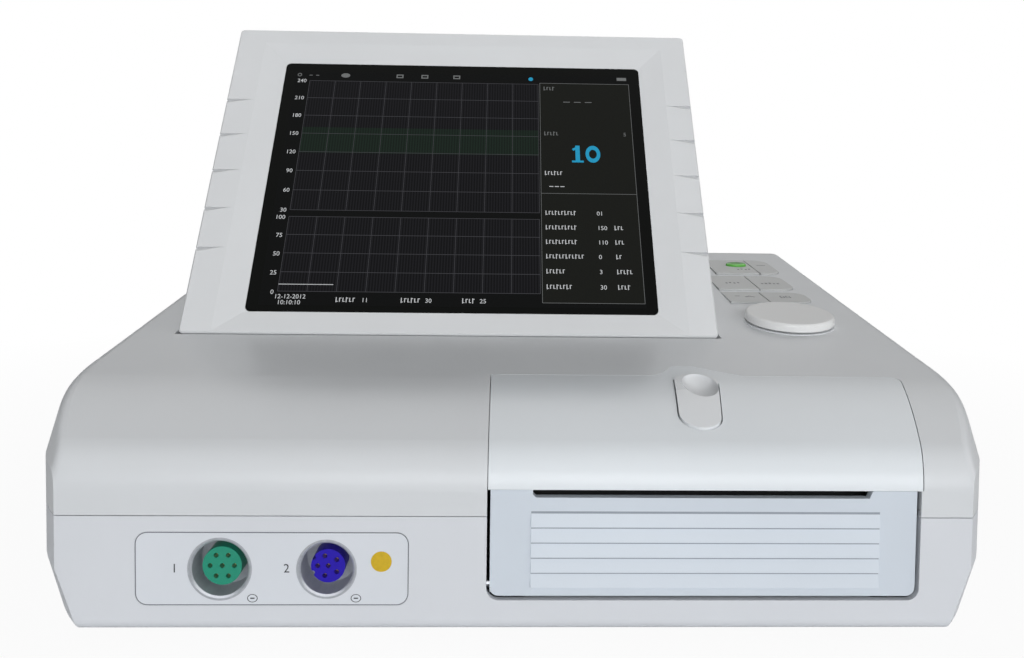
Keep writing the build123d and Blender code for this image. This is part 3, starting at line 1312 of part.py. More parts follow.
def fuse_holders():
    """Two fuse holders with slotted caps."""
    holders = []
    for z in fuse_heights():
        holder = rod_y(FUSE_X, BACK_Y - 26, BACK_Y, z, FUSE_R)
        holder += rod_y(FUSE_X, BACK_Y, BACK_Y + 5, z, FUSE_R + 1.2)
        holders.append(holder - block(FUSE_X - 4.5, FUSE_X + 4.5, BACK_Y + 4, BACK_Y + 6, z - 0.6, z + 0.6))
    return holders


def network_port():
    """Shielded network socket."""
    w = PORT_W / 2
    h = PORT_H / 2
    port = block(PORT_X - w, PORT_X + w, BACK_Y - 20, BACK_Y + 0.5, BACK_Z - h, BACK_Z + h)
    port -= block(PORT_X - 5.9, PORT_X + 5.9, BACK_Y - 12, BACK_Y + 1, BACK_Z - 4.5, BACK_Z + 3)
    return port - block(PORT_X - 3, PORT_X + 3, BACK_Y - 12, BACK_Y + 1, BACK_Z + 2.9, BACK_Z + 5)


# ---------------------------------------------------------------- nodes
def as_compound(shape):
    """One shape for a node, whether it is one solid or a group."""
    if isinstance(shape, list):
        return Compound(children=[solid for part in shape for solid in part.solids()])
    return Compound(children=list(shape.solids()))


NODES = {
    "lower_casing": lower_casing,
    "upper_casing": upper_casing,
    "rubber_feet": rubber_feet,
    "casing_screws": casing_screws,
    "battery_cover": battery_cover,
    "battery_pack": battery_pack,
    "connector_label": connector_label,
    "green_socket_shell": lambda: socket_shell(GREEN_X, GREEN_R, GREEN_INSERT_R),
    "green_socket_insert": lambda: socket_insert(GREEN_X, GREEN_INSERT_R, 6, 0),
    "blue_socket_shell": lambda: socket_shell(BLUE_X, BLUE_R, BLUE_INSERT_R),
    "blue_socket_insert": lambda: socket_insert(BLUE_X, BLUE_INSERT_R, 5, 36),
    "socket_contacts": socket_contacts,
    "main_board": main_board,
    "power_supply": power_supply,
    "speaker": speaker,
    "mains_inlet": mains_inlet,
    "mains_inlet_pins": mains_inlet_pins,
    "power_switch_frame": power_switch_frame,
    "power_rocker": power_rocker,
    "fuse_holders": fuse_holders,
    "network_port": network_port,
    "paper_tray": paper_tray,
    "paper_pack": paper_pack,
    "print_frame": print_frame,
    "thermal_head": thermal_head,
    "platen_bushes": platen_bushes,
    "platen_shaft": platen_shaft,
    "platen_rubber": platen_rubber,
    "platen_gear": lambda: spur_gear(PLATEN_TEETH, PLATEN_Y, SHAFT_R, 0),
    "idler_gear": lambda: spur_gear(IDLER_TEETH, IDLER_Y, IDLER_PIN_R + RUN, 180 + 180 / IDLER_TEETH),
    "idler_pin": idler_pin,
    "feed_motor": feed_motor,
    "motor_pinion": motor_pinion,
    "paper_door": paper_door,
    "door_hinge_pins": door_hinge_pins,
    "printer_cover": printer_cover,
    "latch_button": latch_button,
    "latch_yoke": latch_yoke,
    "latch_spring": latch_spring,
    "display_bezel": display_bezel,
    "display_rear_cover": display_rear_cover,
    "display_glass": display_glass,
    "lcd_module": lcd_module,
    "display_screws": display_screws,
    "hinge_brackets": hinge_brackets,
    "hinge_plates": hinge_plates,
    "hinge_pins": hinge_pins,
    "key_front_left": lambda: key("front", "left"),
    "key_front_right": lambda: key("front", "right"),
    "key_middle_left": lambda: key("middle", "left"),
    "key_middle_right": lambda: key("middle", "right"),
    "key_rear_left": lambda: key("rear", "left"),
    "key_rear_right": lambda: key("rear", "right"),
    "indicator_lens": indicator_lens,
    "key_mat": key_mat,
    "key_board": key_board,
    "encoder_body": encoder_body,
    "encoder_plunger": encoder_plunger,
    "encoder_shaft": encoder_shaft,
    "control_knob": control_knob,
}

os.makedirs("parts", exist_ok=True)
for name, make in NODES.items():
    export_step(as_compound(make()), f"parts/{name}.step")
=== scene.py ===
import math

import bmesh
import bpy
from mathutils import Matrix, Vector


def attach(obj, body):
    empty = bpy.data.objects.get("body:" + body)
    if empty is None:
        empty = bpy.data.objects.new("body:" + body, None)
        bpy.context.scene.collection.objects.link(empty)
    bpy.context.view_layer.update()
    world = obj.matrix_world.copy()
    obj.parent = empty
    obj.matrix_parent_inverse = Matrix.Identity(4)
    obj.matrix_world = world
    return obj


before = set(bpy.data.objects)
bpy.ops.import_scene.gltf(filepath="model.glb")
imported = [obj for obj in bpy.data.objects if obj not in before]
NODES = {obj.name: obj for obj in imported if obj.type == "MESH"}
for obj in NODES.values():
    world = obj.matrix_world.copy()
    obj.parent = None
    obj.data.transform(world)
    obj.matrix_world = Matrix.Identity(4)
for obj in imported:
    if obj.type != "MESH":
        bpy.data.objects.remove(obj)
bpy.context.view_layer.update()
MM = 0.001

# ---------------------------------------------------------------- camera
IMAGE_W, IMAGE_H = 1024, 658
FOCAL_PX = 917.73
CENTRE_PX = (530.81, 230.0)
CAMERA_MM = (-6.59, -456.18, 151.1)
YAW, PITCH, ROLL = 1.71, 2.61, 0.78
SENSOR_MM = 36.0

# ---------------------------------------------------------------- places on the object, millimetres
DECK_SLOPE = math.radians(8.0)
DECK_ORIGIN = (0.0, -115.0, 77.8)
SCREEN_LEAN = math.radians(33.63)
HINGE_Y = -40.7
HINGE_UP = 10.0
HINGE_IN = 12.0
SCREEN_X = -29.2
GLASS_FACE = -1.8
FRONT_Y = -160.0
LABEL = (-124.8, -36.3, 13.9, 38.1)
LABEL_R = 3.9
LABEL_LINE = 0.28
SOCKET_Z = 25.85
GREEN_X, BLUE_X = -97.6, -63.0
NUMBER_H, NUMBER_UP = 3.0, 0.4
RING_Z, RING_R, RING_IN_R = 16.2, 1.7, 1.45
DOT_X, DOT_Z, DOT_R = -45.2, 28.4, 3.4
PRINT_T = 0.03
ROUND_SEGMENTS = 48
TEXT_SIZE = 1.38
LOOK_DOWN_Z = 200.0
RIB_LEFT, RIB_RIGHT = 3.7, 119.8
RIB_FIRST_Z, RIB_PITCH, RIB_COUNT, RIB_H = 19.7, 5.05, 5, 4.3
RIB_GROOVE = RIB_PITCH - RIB_H


def srgb(red, green, blue):
    """Linear colour from 0 to 255 display values."""
    def one(value):
        v = value / 255.0
        return v / 12.92 if v <= 0.04045 else ((v + 0.055) / 1.055) ** 2.4
    return (one(red), one(green), one(blue), 1.0)


def axes(origin, x_axis, y_axis):
    """Matrix of a flat working plane; its normal is x cross y. Origin in millimetres."""
    x, y = Vector(x_axis).normalized(), Vector(y_axis).normalized()
    z = x.cross(y)
    turn = Matrix((x, y, z)).transposed().to_4x4()
    return Matrix.Translation(Vector(origin) * MM) @ turn


def deck_height(y):
    """Height of the deck at y, in millimetres."""
    return DECK_ORIGIN[2] + math.tan(DECK_SLOPE) * (y - DECK_ORIGIN[1])


LEAN_S, LEAN_C = math.sin(SCREEN_LEAN), math.cos(SCREEN_LEAN)
SCREEN_ORIGIN = (SCREEN_X, HINGE_Y - HINGE_UP * LEAN_S - HINGE_IN * LEAN_C,
                 deck_height(HINGE_Y) - HINGE_UP * LEAN_C + HINGE_IN * LEAN_S)
SCREEN = axes(SCREEN_ORIGIN, (1, 0, 0), (0, LEAN_S, LEAN_C))
FRONT = axes((0, FRONT_Y, 0), (1, 0, 0), (0, 0, 1))


# ---------------------------------------------------------------- materials
TONE_CLOUDS = 18.0
GLOSS_PATCHES = 60.0
FINE_GRAIN = 1400.0
MIX_FIRST, MIX_SECOND, MIX_RESULT = 6, 7, 2


def start_material(name):
    """Empty node material with its shader; returns the material, node tree and shader."""
    material = bpy.data.materials.new(name)
    material.use_nodes = True
    tree = material.node_tree
    shader = tree.nodes["Principled BSDF"]
    return material, tree, shader


def noise_on_object(tree, scale, detail=2.0, stretch=None):
    """Noise that follows the piece, sized in waves per metre."""
    place = tree.nodes.new("ShaderNodeTexCoord")
    noise = tree.nodes.new("ShaderNodeTexNoise")
    noise.inputs["Scale"].default_value = scale
    noise.inputs["Detail"].default_value = detail
    source = place.outputs["Object"]
    if stretch:
        mapping = tree.nodes.new("ShaderNodeMapping")
        mapping.inputs["Scale"].default_value = stretch
        tree.links.new(source, mapping.inputs["Vector"])
        source = mapping.outputs["Vector"]
    tree.links.new(source, noise.inputs["Vector"])
    return noise.outputs["Fac"]


def ramp(tree, source, low, high, low_at=0.05, high_at=0.95):
    """Colour ramp between two colours."""
    node = tree.nodes.new("ShaderNodeValToRGB")
    node.color_ramp.elements[0].position = low_at
    node.color_ramp.elements[0].color = low
    node.color_ramp.elements[1].position = high_at
    node.color_ramp.elements[1].color = high
    tree.links.new(source, node.inputs["Fac"])
    return node.outputs["Color"]


def spread(tree, source, low, high, from_low=0.0, from_high=1.0):
    """Map a value to a range, held at the range's ends."""
    node = tree.nodes.new("ShaderNodeMapRange")
    node.inputs["From Min"].default_value = from_low
    node.inputs["From Max"].default_value = from_high
    node.inputs["To Min"].default_value = low
    node.inputs["To Max"].default_value = high
    tree.links.new(source, node.inputs["Value"])
    return node.outputs["Result"]


def grain(tree, shader, height, depth):
    """Bump from a height value, in metres."""
    bump = tree.nodes.new("ShaderNodeBump")
    bump.inputs["Strength"].default_value = 1.0
    bump.inputs["Distance"].default_value = depth
    tree.links.new(height, bump.inputs["Height"])
    tree.links.new(bump.outputs["Normal"], shader.inputs["Normal"])


def tinted(colour, factor):
    """Colour made lighter or darker."""
    return tuple(min(1.0, c * factor) for c in colour[:3]) + (1.0,)


def moulded_plastic(name, colour, rough=0.42, depth=0.000012, level=0.5):
    """Spark-textured moulding: faint cloudy colour, fine grain, slightly uneven gloss."""
    material, tree, shader = start_material(name)
    cloud = noise_on_object(tree, TONE_CLOUDS, 3.0)
    fine = noise_on_object(tree, FINE_GRAIN, 2.0)
    patches = noise_on_object(tree, GLOSS_PATCHES)
    tone = ramp(tree, cloud, tinted(colour, 0.96), tinted(colour, 1.035))
    tree.links.new(tone, shader.inputs["Base Color"])
    tree.links.new(spread(tree, patches, rough - 0.04, rough + 0.05), shader.inputs["Roughness"])
    shader.inputs["Specular IOR Level"].default_value = level
    grain(tree, shader, fine, depth)
    return material


def reckon(tree, operation, first, second):
    """Result of one sum on a value and a number, or on two values."""
    node = tree.nodes.new("ShaderNodeMath")
    node.operation = operation
    tree.links.new(first, node.inputs[0])
    if isinstance(second, float):
        node.inputs[1].default_value = second
    else:
        tree.links.new(second, node.inputs[1])
    return node.outputs[0]


def between(tree, value, low, high):
    """1 where a value lies between two limits, else 0."""
    return reckon(tree, "MULTIPLY", reckon(tree, "GREATER_THAN", value, low),
                  reckon(tree, "LESS_THAN", value, high))


def ribbed_plastic_painted_shade(name, colour, shade):
    """Door moulding with painted shade: a darker grey painted into the grooves between its ribs."""
    material = moulded_plastic(name, colour)
    tree = material.node_tree
    shader = tree.nodes["Principled BSDF"]
    plain = shader.inputs["Base Color"].links[0].from_socket
    place = tree.nodes.new("ShaderNodeTexCoord")
    parts = tree.nodes.new("ShaderNodeSeparateXYZ")
    tree.links.new(place.outputs["Object"], parts.inputs[0])
    height = reckon(tree, "SUBTRACT", parts.outputs["Z"], (RIB_FIRST_Z + RIB_H) * MM)
    turn = reckon(tree, "FRACT", reckon(tree, "DIVIDE", height, RIB_PITCH * MM), 0.0)
    groove = reckon(tree, "LESS_THAN", turn, RIB_GROOVE / RIB_PITCH)
    inside = between(tree, parts.outputs["X"], RIB_LEFT * MM, RIB_RIGHT * MM)
    tall = between(tree, height, -RIB_GROOVE * MM, ((RIB_COUNT - 1) * RIB_PITCH + RIB_GROOVE) * MM)
    # Painted shade: mask of the groove bands in the ribbed area, where the colour is mixed toward the shade
    # colour.
    where = reckon(tree, "MULTIPLY", groove, reckon(tree, "MULTIPLY", inside, tall))
    mix = tree.nodes.new("ShaderNodeMix")
    mix.data_type = "RGBA"
    tree.links.new(where, mix.inputs["Factor"])
    tree.links.new(plain, mix.inputs[MIX_FIRST])
    mix.inputs[MIX_SECOND].default_value = shade
    tree.links.new(mix.outputs[MIX_RESULT], shader.inputs["Base Color"])
    return material


def turned_metal(name, colour, rough=0.28, stretch=(60.0, 900.0, 900.0), metallic=1.0):
    """Metal with fine machining lines."""
    material, tree, shader = start_material(name)
    lines = noise_on_object(tree, 1.0, 3.0, stretch)
    tree.links.new(ramp(tree, lines, tinted(colour, 0.82), tinted(colour, 1.1)), shader.inputs["Base Color"])
    tree.links.new(spread(tree, lines, rough - 0.07, rough + 0.1), shader.inputs["Roughness"])
    shader.inputs["Metallic"].default_value = metallic
    grain(tree, shader, lines, 0.00001)
    return material


def dull_rubber(name, colour):
    """Matt rubber with a fine uneven skin."""
    material, tree, shader = start_material(name)
    fine = noise_on_object(tree, 900.0, 4.0)
    tree.links.new(ramp(tree, fine, tinted(colour, 0.8), tinted(colour, 1.25)), shader.inputs["Base Color"])
    shader.inputs["Roughness"].default_value = 0.82
    shader.inputs["Specular IOR Level"].default_value = 0.3
    grain(tree, shader, fine, 0.00003)
    return material


def circuit_board(name):
    """Green lacquer over faint copper tracks."""
    material, tree, shader = start_material(name)
    place = tree.nodes.new("ShaderNodeTexCoord")
    tracks = tree.nodes.new("ShaderNodeTexBrick")
    tracks.inputs["Scale"].default_value = 160.0
    tracks.inputs["Color1"].default_value = srgb(22, 84, 48)
    tracks.inputs["Color2"].default_value = srgb(26, 94, 54)
    tracks.inputs["Mortar"].default_value = srgb(58, 128, 80)
    tracks.inputs["Mortar Size"].default_value = 0.03
    tree.links.new(place.outputs["Object"], tracks.inputs["Vector"])
    tree.links.new(tracks.outputs["Color"], shader.inputs["Base Color"])
    shader.inputs["Roughness"].default_value = 0.3
    return material


def folded_paper(name):
    """Edges of fan-folded chart paper."""
    material, tree, shader = start_material(name)
    layers = noise_on_object(tree, 1.0, 2.0, (8.0, 8.0, 2600.0))
    tree.links.new(ramp(tree, layers, srgb(205, 204, 196), srgb(240, 240, 236)), shader.inputs["Base Color"])
    shader.inputs["Roughness"].default_value = 0.8
    grain(tree, shader, layers, 0.0001)
    return material


def window_glass(name):
    """Black-backed display window with an anti-glare coat."""
    material, tree, shader = start_material(name)
    film = noise_on_object(tree, 3000.0, 2.0)
    tone = ramp(tree, noise_on_object(tree, 12.0), srgb(2, 3, 2), srgb(5, 6, 5))
    tree.links.new(tone, shader.inputs["Base Color"])
    tree.links.new(spread(tree, film, 0.22, 0.32), shader.inputs["Roughness"])
    shader.inputs["Specular IOR Level"].default_value = 0.03
    return material


def light_up(tree, shader, tone):
    """Make a print give its own light, with nothing of the room showing in it."""
    tree.links.new(tone, shader.inputs["Emission Color"])
    shader.inputs["Emission Strength"].default_value = 1.0
    shader.inputs["Base Color"].default_value = (0.001, 0.001, 0.001, 1.0)
    shader.inputs["Roughness"].default_value = 0.6
    shader.inputs["Specular IOR Level"].default_value = 0.02


def glowing(name, colour):
    """Lit print of the display, a little uneven from dot to dot."""
    material, tree, shader = start_material(name)
    dots = noise_on_object(tree, 1500.0, 1.0)
    light_up(tree, shader, ramp(tree, dots, tinted(colour, 0.8), tinted(colour, 1.1)))
    return material


def chart_ground(name, low, high):
    """Dark chart ground with faint fine rulings one small square apart."""
    material, tree, shader = start_material(name)
    place = tree.nodes.new("ShaderNodeTexCoord")
    wave = tree.nodes.new("ShaderNodeTexWave")
    wave.wave_type = "BANDS"
    wave.bands_direction = "X"
    wave.inputs["Scale"].default_value = math.pi / (10.0 * CHART_MINOR * MM)
    tree.links.new(place.outputs["Object"], wave.inputs["Vector"])
    light_up(tree, shader, ramp(tree, wave.outputs["Fac"], low, high, 0.1, 0.9))
    return material


def ink(name, colour):
    """Screen-printed marking with slightly broken edges of tone."""
    material, tree, shader = start_material(name)
    tone = noise_on_object(tree, 700.0, 2.0)
    tree.links.new(ramp(tree, tone, tinted(colour, 0.85), tinted(colour, 1.15)), shader.inputs["Base Color"])
    shader.inputs["Roughness"].default_value = 0.5
    return material


# ---------------------------------------------------------------- building pieces
def settle_order(items, spot):
    """Sort corners or faces by where they are, so that their order is the same every run."""
    ranks = {item: rank for rank, item in enumerate(sorted(items, key=lambda item: spot(item)[:]))}
    items.sort(key=lambda item: ranks[item])


def finish_piece(name, bm, materials, body):
    """Make an object at the origin from a bmesh and put it on its body."""
    settle_order(bm.verts, lambda vert: vert.co)
    settle_order(bm.faces, lambda face: face.calc_center_median())
    mesh = bpy.data.meshes.new(name)
    bm.to_mesh(mesh)
    bm.free()
    for material in materials:
        mesh.materials.append(material)
    piece = bpy.data.objects.new(name, mesh)
    bpy.context.scene.collection.objects.link(piece)
    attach(piece, body)
    return piece


def bar(bm, plane, x0, x1, y0, y1, slot=0, lift=0.0, thick=PRINT_T):
    """Thin printed bar on a working plane, sizes in millimetres."""
    centre = Matrix.Translation(Vector(((x0 + x1) / 2, (y0 + y1) / 2, lift + thick / 2)) * MM)
    size = Matrix.Diagonal(Vector(((x1 - x0) * MM, (y1 - y0) * MM, thick * MM, 1.0)))
    made = bmesh.ops.create_cube(bm, size=1.0, matrix=plane @ centre @ size)
    for face in {face for vert in made["verts"] for face in vert.link_faces}:
        face.material_index = slot


def upward(place):
    """Direction that a working plane faces."""
    return (place.to_3x3() @ Vector((0, 0, 1))).normalized()


def raise_print(bm, before, place):
    """Give the faces made since before the thickness of print, and return them."""
    faces = [face for face in bm.faces if face not in before]
    grown = bmesh.ops.extrude_face_region(bm, geom=faces)
    verts = [item for item in grown["geom"] if isinstance(item, bmesh.types.BMVert)]
    bmesh.ops.translate(bm, verts=verts, vec=upward(place) * PRINT_T * MM)
    made = [face for face in bm.faces if face not in before]
    bmesh.ops.recalc_face_normals(bm, faces=made)
    return made


def edges_at(verts):
    """Edges at the given corners, each once and in the same order every run."""
    return list(dict.fromkeys(edge for vert in verts for edge in vert.link_edges))


def disc(bm, plane, x, y, radius, slot=0, lift=0.0, inner=0.0, squash=1.0):
    """Thin printed dot or ring on a working plane."""
    spot = plane @ Matrix.Translation(Vector((x, y, lift)) * MM)
    place = spot @ Matrix.Diagonal(Vector((1.0, squash, 1.0, 1.0)))
    before = set(bm.faces)
    made = bmesh.ops.create_circle(bm, cap_ends=inner == 0.0, radius=radius * MM,
                                   segments=ROUND_SEGMENTS, matrix=place)
    edges = edges_at(made["verts"])
    if inner:
        ring = bmesh.ops.create_circle(bm, cap_ends=False, radius=inner * MM,
                                       segments=ROUND_SEGMENTS, matrix=place)
        edges += edges_at(ring["verts"])
        bmesh.ops.bridge_loops(bm, edges=edges)
    for face in raise_print(bm, before, place):
        face.material_index = slot


def figures(bm, plane, text, x, y, height, slot=0, lift=0.0, align="LEFT"):
    """Numbers set on a working plane; y is the middle of the line."""
    curve = bpy.data.curves.new("figures", "FONT")
    curve.body = text
    curve.size = height * TEXT_SIZE * MM
    curve.extrude = PRINT_T / 2 * MM
    curve.align_x = align
    curve.resolution_u = 3
    holder = bpy.data.objects.new("figures", curve)
    mesh = bpy.data.meshes.new_from_object(holder)
    place = plane @ Matrix.Translation(Vector((x, y - height / 2, lift + PRINT_T / 2)) * MM)
    mesh.transform(place)
    first = len(bm.faces)
    bm.from_mesh(mesh)
    bm.faces.ensure_lookup_table()
    for face in bm.faces[first:]:
        face.material_index = slot
    bpy.data.objects.remove(holder)
    bpy.data.curves.remove(curve)
    bpy.data.meshes.remove(mesh)


def surface_plane(node, x, y):
    """Working plane on top of a CAD node at x, y in millimetres."""
    start = Vector((x, y, LOOK_DOWN_Z)) * MM
    _, place, normal, _ = NODES[node].ray_cast(start, Vector((0, 0, -1)))
    across = Vector((1, 0, 0))
    return axes(place / MM, across, normal.cross(across))


# ---------------------------------------------------------------- display picture
CHART_LEFT, CHART_RIGHT = -78.4, 39.7
CHART_COLUMNS = 9
CHART_MINOR = (CHART_RIGHT - CHART_LEFT) / CHART_COLUMNS / 10
RATE_LOW, RATE_HIGH, RATE_ROWS = 64.6, 143.6, 7
PRESSURE_LOW, PRESSURE_HIGH, PRESSURE_ROWS = 21.4, 60.9, 4
NORMAL_BAND = (98.0, 113.6)
SIDE_LEFT, SIDE_RIGHT, SIDE_LOW, SIDE_HIGH, SIDE_SPLIT = 40.6, 87.0, 16.8, 144.4, 75.8
ACTIVE = (-86.2, 87.6, 14.4, 149.6)
LINE = 0.2
GROUND_LIFT, FIELD_LIFT, BAND_LIFT, PRINT_LIFT, TRACE_LIFT, HOLLOW_LIFT = 0.01, 0.03, 0.05, 0.08, 0.1, 0.12
SCALE_GAP, SCALE_DROP = 1.6, 0.3
FIGURE_H, FOOT_FIGURE_H = 2.3, 2.2
TRACE_L, TRACE_LOW, TRACE_HIGH = 24.5, 24.8, 25.1
ONE_X, NOUGHT_X, TEN_Y, TEN_H = 59.0, 66.6, 99.4, 10.2
TEN_STROKE, TEN_FOOT_W = 2.2, 5.8
WORD_LEFT, VALUE_LEFT, UNIT_LEFT = 42.6, 67.0, 75.2
STATUS_Y, FOOT_Y = 147.4, 17.4
WORD_STEP, WORD_STROKE = 1.5, 0.4

(GROUND, CHART, BAND, GRID, BRIGHT, BLUE, DIM, SIDE) = range(8)


def chart(bm, plane, low, high, rows):
    """Ruled chart field with its border."""
    for k in range(CHART_COLUMNS + 1):
        x = CHART_LEFT + (CHART_RIGHT - CHART_LEFT) * k / CHART_COLUMNS
        bar(bm, plane, x - LINE / 2, x + LINE / 2, low, high, GRID, PRINT_LIFT)
    for k in range(rows + 1):
        y = low + (high - low) * k / rows
        bar(bm, plane, CHART_LEFT, CHART_RIGHT, y - LINE / 2, y + LINE / 2, GRID, PRINT_LIFT)


def picture():
    """Everything the display shows, as thin lit print just over the window."""
    plane = SCREEN @ Matrix.Translation((0, 0, GLASS_FACE * MM))
    bm = bmesh.new()
    bar(bm, plane, ACTIVE[0], ACTIVE[1], ACTIVE[2], ACTIVE[3], GROUND, GROUND_LIFT)
    bar(bm, plane, CHART_LEFT, CHART_RIGHT, PRESSURE_LOW, PRESSURE_HIGH, CHART, FIELD_LIFT)
    bar(bm, plane, CHART_LEFT, CHART_RIGHT, RATE_LOW, RATE_HIGH, CHART, FIELD_LIFT)
    bar(bm, plane, CHART_LEFT, CHART_RIGHT, NORMAL_BAND[0], NORMAL_BAND[1], BAND, BAND_LIFT)
    bar(bm, plane, SIDE_LEFT, SIDE_RIGHT, SIDE_LOW, SIDE_HIGH, SIDE, FIELD_LIFT)
    chart(bm, plane, RATE_LOW, RATE_HIGH, RATE_ROWS)
    chart(bm, plane, PRESSURE_LOW, PRESSURE_HIGH, PRESSURE_ROWS)
    for k in range(RATE_ROWS + 1):
        y = RATE_LOW + (RATE_HIGH - RATE_LOW) * k / RATE_ROWS
        figures(bm, plane, str(30 + 30 * k), CHART_LEFT - SCALE_GAP, y, FIGURE_H, BRIGHT, PRINT_LIFT, "RIGHT")
    for k in range(PRESSURE_ROWS + 1):
        y = PRESSURE_LOW + (PRESSURE_HIGH - PRESSURE_LOW) * k / PRESSURE_ROWS - SCALE_DROP
        figures(bm, plane, str(25 * k), CHART_LEFT - SCALE_GAP, y, FIGURE_H, BRIGHT, PRINT_LIFT, "RIGHT")
    bar(bm, plane, CHART_LEFT, CHART_LEFT + TRACE_L, TRACE_LOW, TRACE_HIGH, BRIGHT, TRACE_LIFT)
    frame_lines(bm, plane)
    large_ten(bm, plane)
    side_rows(bm, plane)
    status_marks(bm, plane)
    finish_piece("screen_picture", bm, PICTURE_MATERIALS, "screen")


def frame_lines(bm, plane):
    """Border and divider of the side field."""
    for x in (SIDE_LEFT, SIDE_RIGHT):
        bar(bm, plane, x - LINE / 2, x + LINE / 2, SIDE_LOW, SIDE_HIGH, DIM, PRINT_LIFT)
    for y in (SIDE_LOW, SIDE_SPLIT, SIDE_HIGH):
        bar(bm, plane, SIDE_LEFT, SIDE_RIGHT, y - LINE / 2, y + LINE / 2, DIM, PRINT_LIFT)


def large_ten(bm, plane):
    """Large 10 in heavy strokes."""
    low, high = TEN_Y - TEN_H / 2, TEN_Y + TEN_H / 2
    bar(bm, plane, ONE_X - TEN_STROKE / 2, ONE_X + TEN_STROKE / 2, low, high, BLUE, PRINT_LIFT)
    bar(bm, plane, ONE_X - TEN_FOOT_W / 2, ONE_X + TEN_FOOT_W / 2,
        low, low + TEN_STROKE / 2, BLUE, PRINT_LIFT)
    tip = plane @ Matrix.Translation(Vector((ONE_X, high - 1.2, 0)) * MM)
    flag = tip @ Matrix.Rotation(0.5, 4, "Z")
    bar(bm, flag, -2.8, 0.0, -0.7, 0.6, BLUE, PRINT_LIFT)
    disc(bm, plane, NOUGHT_X, TEN_Y, TEN_H * 0.36, BLUE, PRINT_LIFT, inner=TEN_H * 0.19, squash=1.4)


def side_rows(bm, plane):
    """Rows of the side field: short bars for words, figures for values."""
    for y, width, slot in ((140.9, 7.0, DIM), (111.8, 7.5, DIM), (87.7, 9.2, BRIGHT)):
        word(bm, plane, WORD_LEFT, y, width, slot)
    for k in range(3):
        bar(bm, plane, 52.5 + 5.6 * k, 56.0 + 5.6 * k, 131.9, 132.3, DIM, PRINT_LIFT)
        bar(bm, plane, 44.6 + 2.7 * k, 46.6 + 2.7 * k, 79.6, 80.0, BRIGHT, PRINT_LIFT)
    figures(bm, plane, "5", 82.4, 111.9, FIGURE_H, DIM, PRINT_LIFT)
    rows = ((64.7, 15.6, "01", 4.0), (56.6, 15.6, "150", 5.5), (48.7, 15.6, "110", 5.5),
            (40.9, 18.0, "0", 3.0), (33.0, 10.4, "3", 8.0), (25.0, 12.6, "30", 6.0))
    for y, width, value, unit in rows:
        word(bm, plane, WORD_LEFT, y, width, BRIGHT)
        figures(bm, plane, value, VALUE_LEFT, y, FIGURE_H, BRIGHT, PRINT_LIFT)
        if value != "01":
            word(bm, plane, UNIT_LEFT, y, unit, BRIGHT)


def word(bm, plane, x, y, width, slot):
    """Stand-in for a word: a run of short upright strokes."""
    for k in range(int(width / WORD_STEP)):
        tall = 1.0 if k % 3 else 1.25
        left = x + WORD_STEP * k
        foot = y + (0.7 if k % 2 else -1.0)
        bar(bm, plane, left, left + WORD_STROKE, y - tall, y + tall, slot, PRINT_LIFT)
        bar(bm, plane, left + WORD_STROKE, left + 1.0, foot, foot + 0.3, slot, PRINT_LIFT)


def status_marks(bm, plane):
    """Top row of small marks and the bottom row of figures."""
    disc(bm, plane, -84.0, STATUS_Y, 1.1, DIM, PRINT_LIFT, inner=0.7)
    for x in (-79.0, -75.6):
        bar(bm, plane, x, x + 1.6, STATUS_Y - 0.4, STATUS_Y, DIM, PRINT_LIFT)
    disc(bm, plane, -60.3, STATUS_Y, 2.3, DIM, PRINT_LIFT, squash=0.62)
    for x in (-32.2, -19.3, -2.7):
        bar(bm, plane, x - 1.8, x + 1.8, 146.2, 148.6, DIM, PRINT_LIFT)
        bar(bm, plane, x - 1.2, x + 1.2, 146.8, 147.9, GROUND, HOLLOW_LIFT)
    disc(bm, plane, 35.9, 147.0, 1.2, BLUE, PRINT_LIFT)
    bar(bm, plane, 81.0, 86.0, 146.9, 148.9, DIM, PRINT_LIFT)
    figures(bm, plane, "12-12-2012", -79.6, 18.9, FOOT_FIGURE_H, BRIGHT, PRINT_LIFT)
    figures(bm, plane, "10:10:10", -78.0, 16.0, FOOT_FIGURE_H, BRIGHT, PRINT_LIFT)
    for x, width, value in ((-52.0, 9.6, "11"), (-23.0, 9.0, "30"), (4.5, 6.0, "25")):
        word(bm, plane, x, FOOT_Y, width, BRIGHT)
        figures(bm, plane, value, x + width + 1.8, FOOT_Y, FOOT_FIGURE_H, BRIGHT, PRINT_LIFT)


# ---------------------------------------------------------------- markings
def label_markings():
    """Outline of the socket label, plain numbers, small rings and a plain yellow dot."""
    bm = bmesh.new()
    left, right, low, high = LABEL
    plane = FRONT
    for y in (low, high - LABEL_LINE):
        bar(bm, plane, left + LABEL_R, right - LABEL_R, y, y + LABEL_LINE)
    for x in (left, right - LABEL_LINE):
        bar(bm, plane, x, x + LABEL_LINE, low + LABEL_R, high - LABEL_R)
    for x, start in ((left + LABEL_R, 90), (right - LABEL_R, 0)):
        for y, turn in ((high - LABEL_R, 0), (low + LABEL_R, 90 if start else -90)):
            corner(bm, plane, x, y, start + turn)
    figures(bm, plane, "1", GREEN_X - 15.6, SOCKET_Z + NUMBER_UP, NUMBER_H, 1)
    figures(bm, plane, "2", BLUE_X - 14.0, SOCKET_Z + NUMBER_UP, NUMBER_H, 1)
    for x in (GREEN_X + 10.6, BLUE_X + 9.6):
        disc(bm, plane, x, RING_Z, RING_R, 1, inner=RING_IN_R, squash=0.8)
        bar(bm, plane, x - 0.7, x + 0.7, RING_Z - 0.2, RING_Z + 0.2, 1)
    disc(bm, plane, DOT_X, DOT_Z, DOT_R, 2)
    finish_piece("label_markings", bm, [INK_GREY, INK_DARK, INK_YELLOW], "casing")


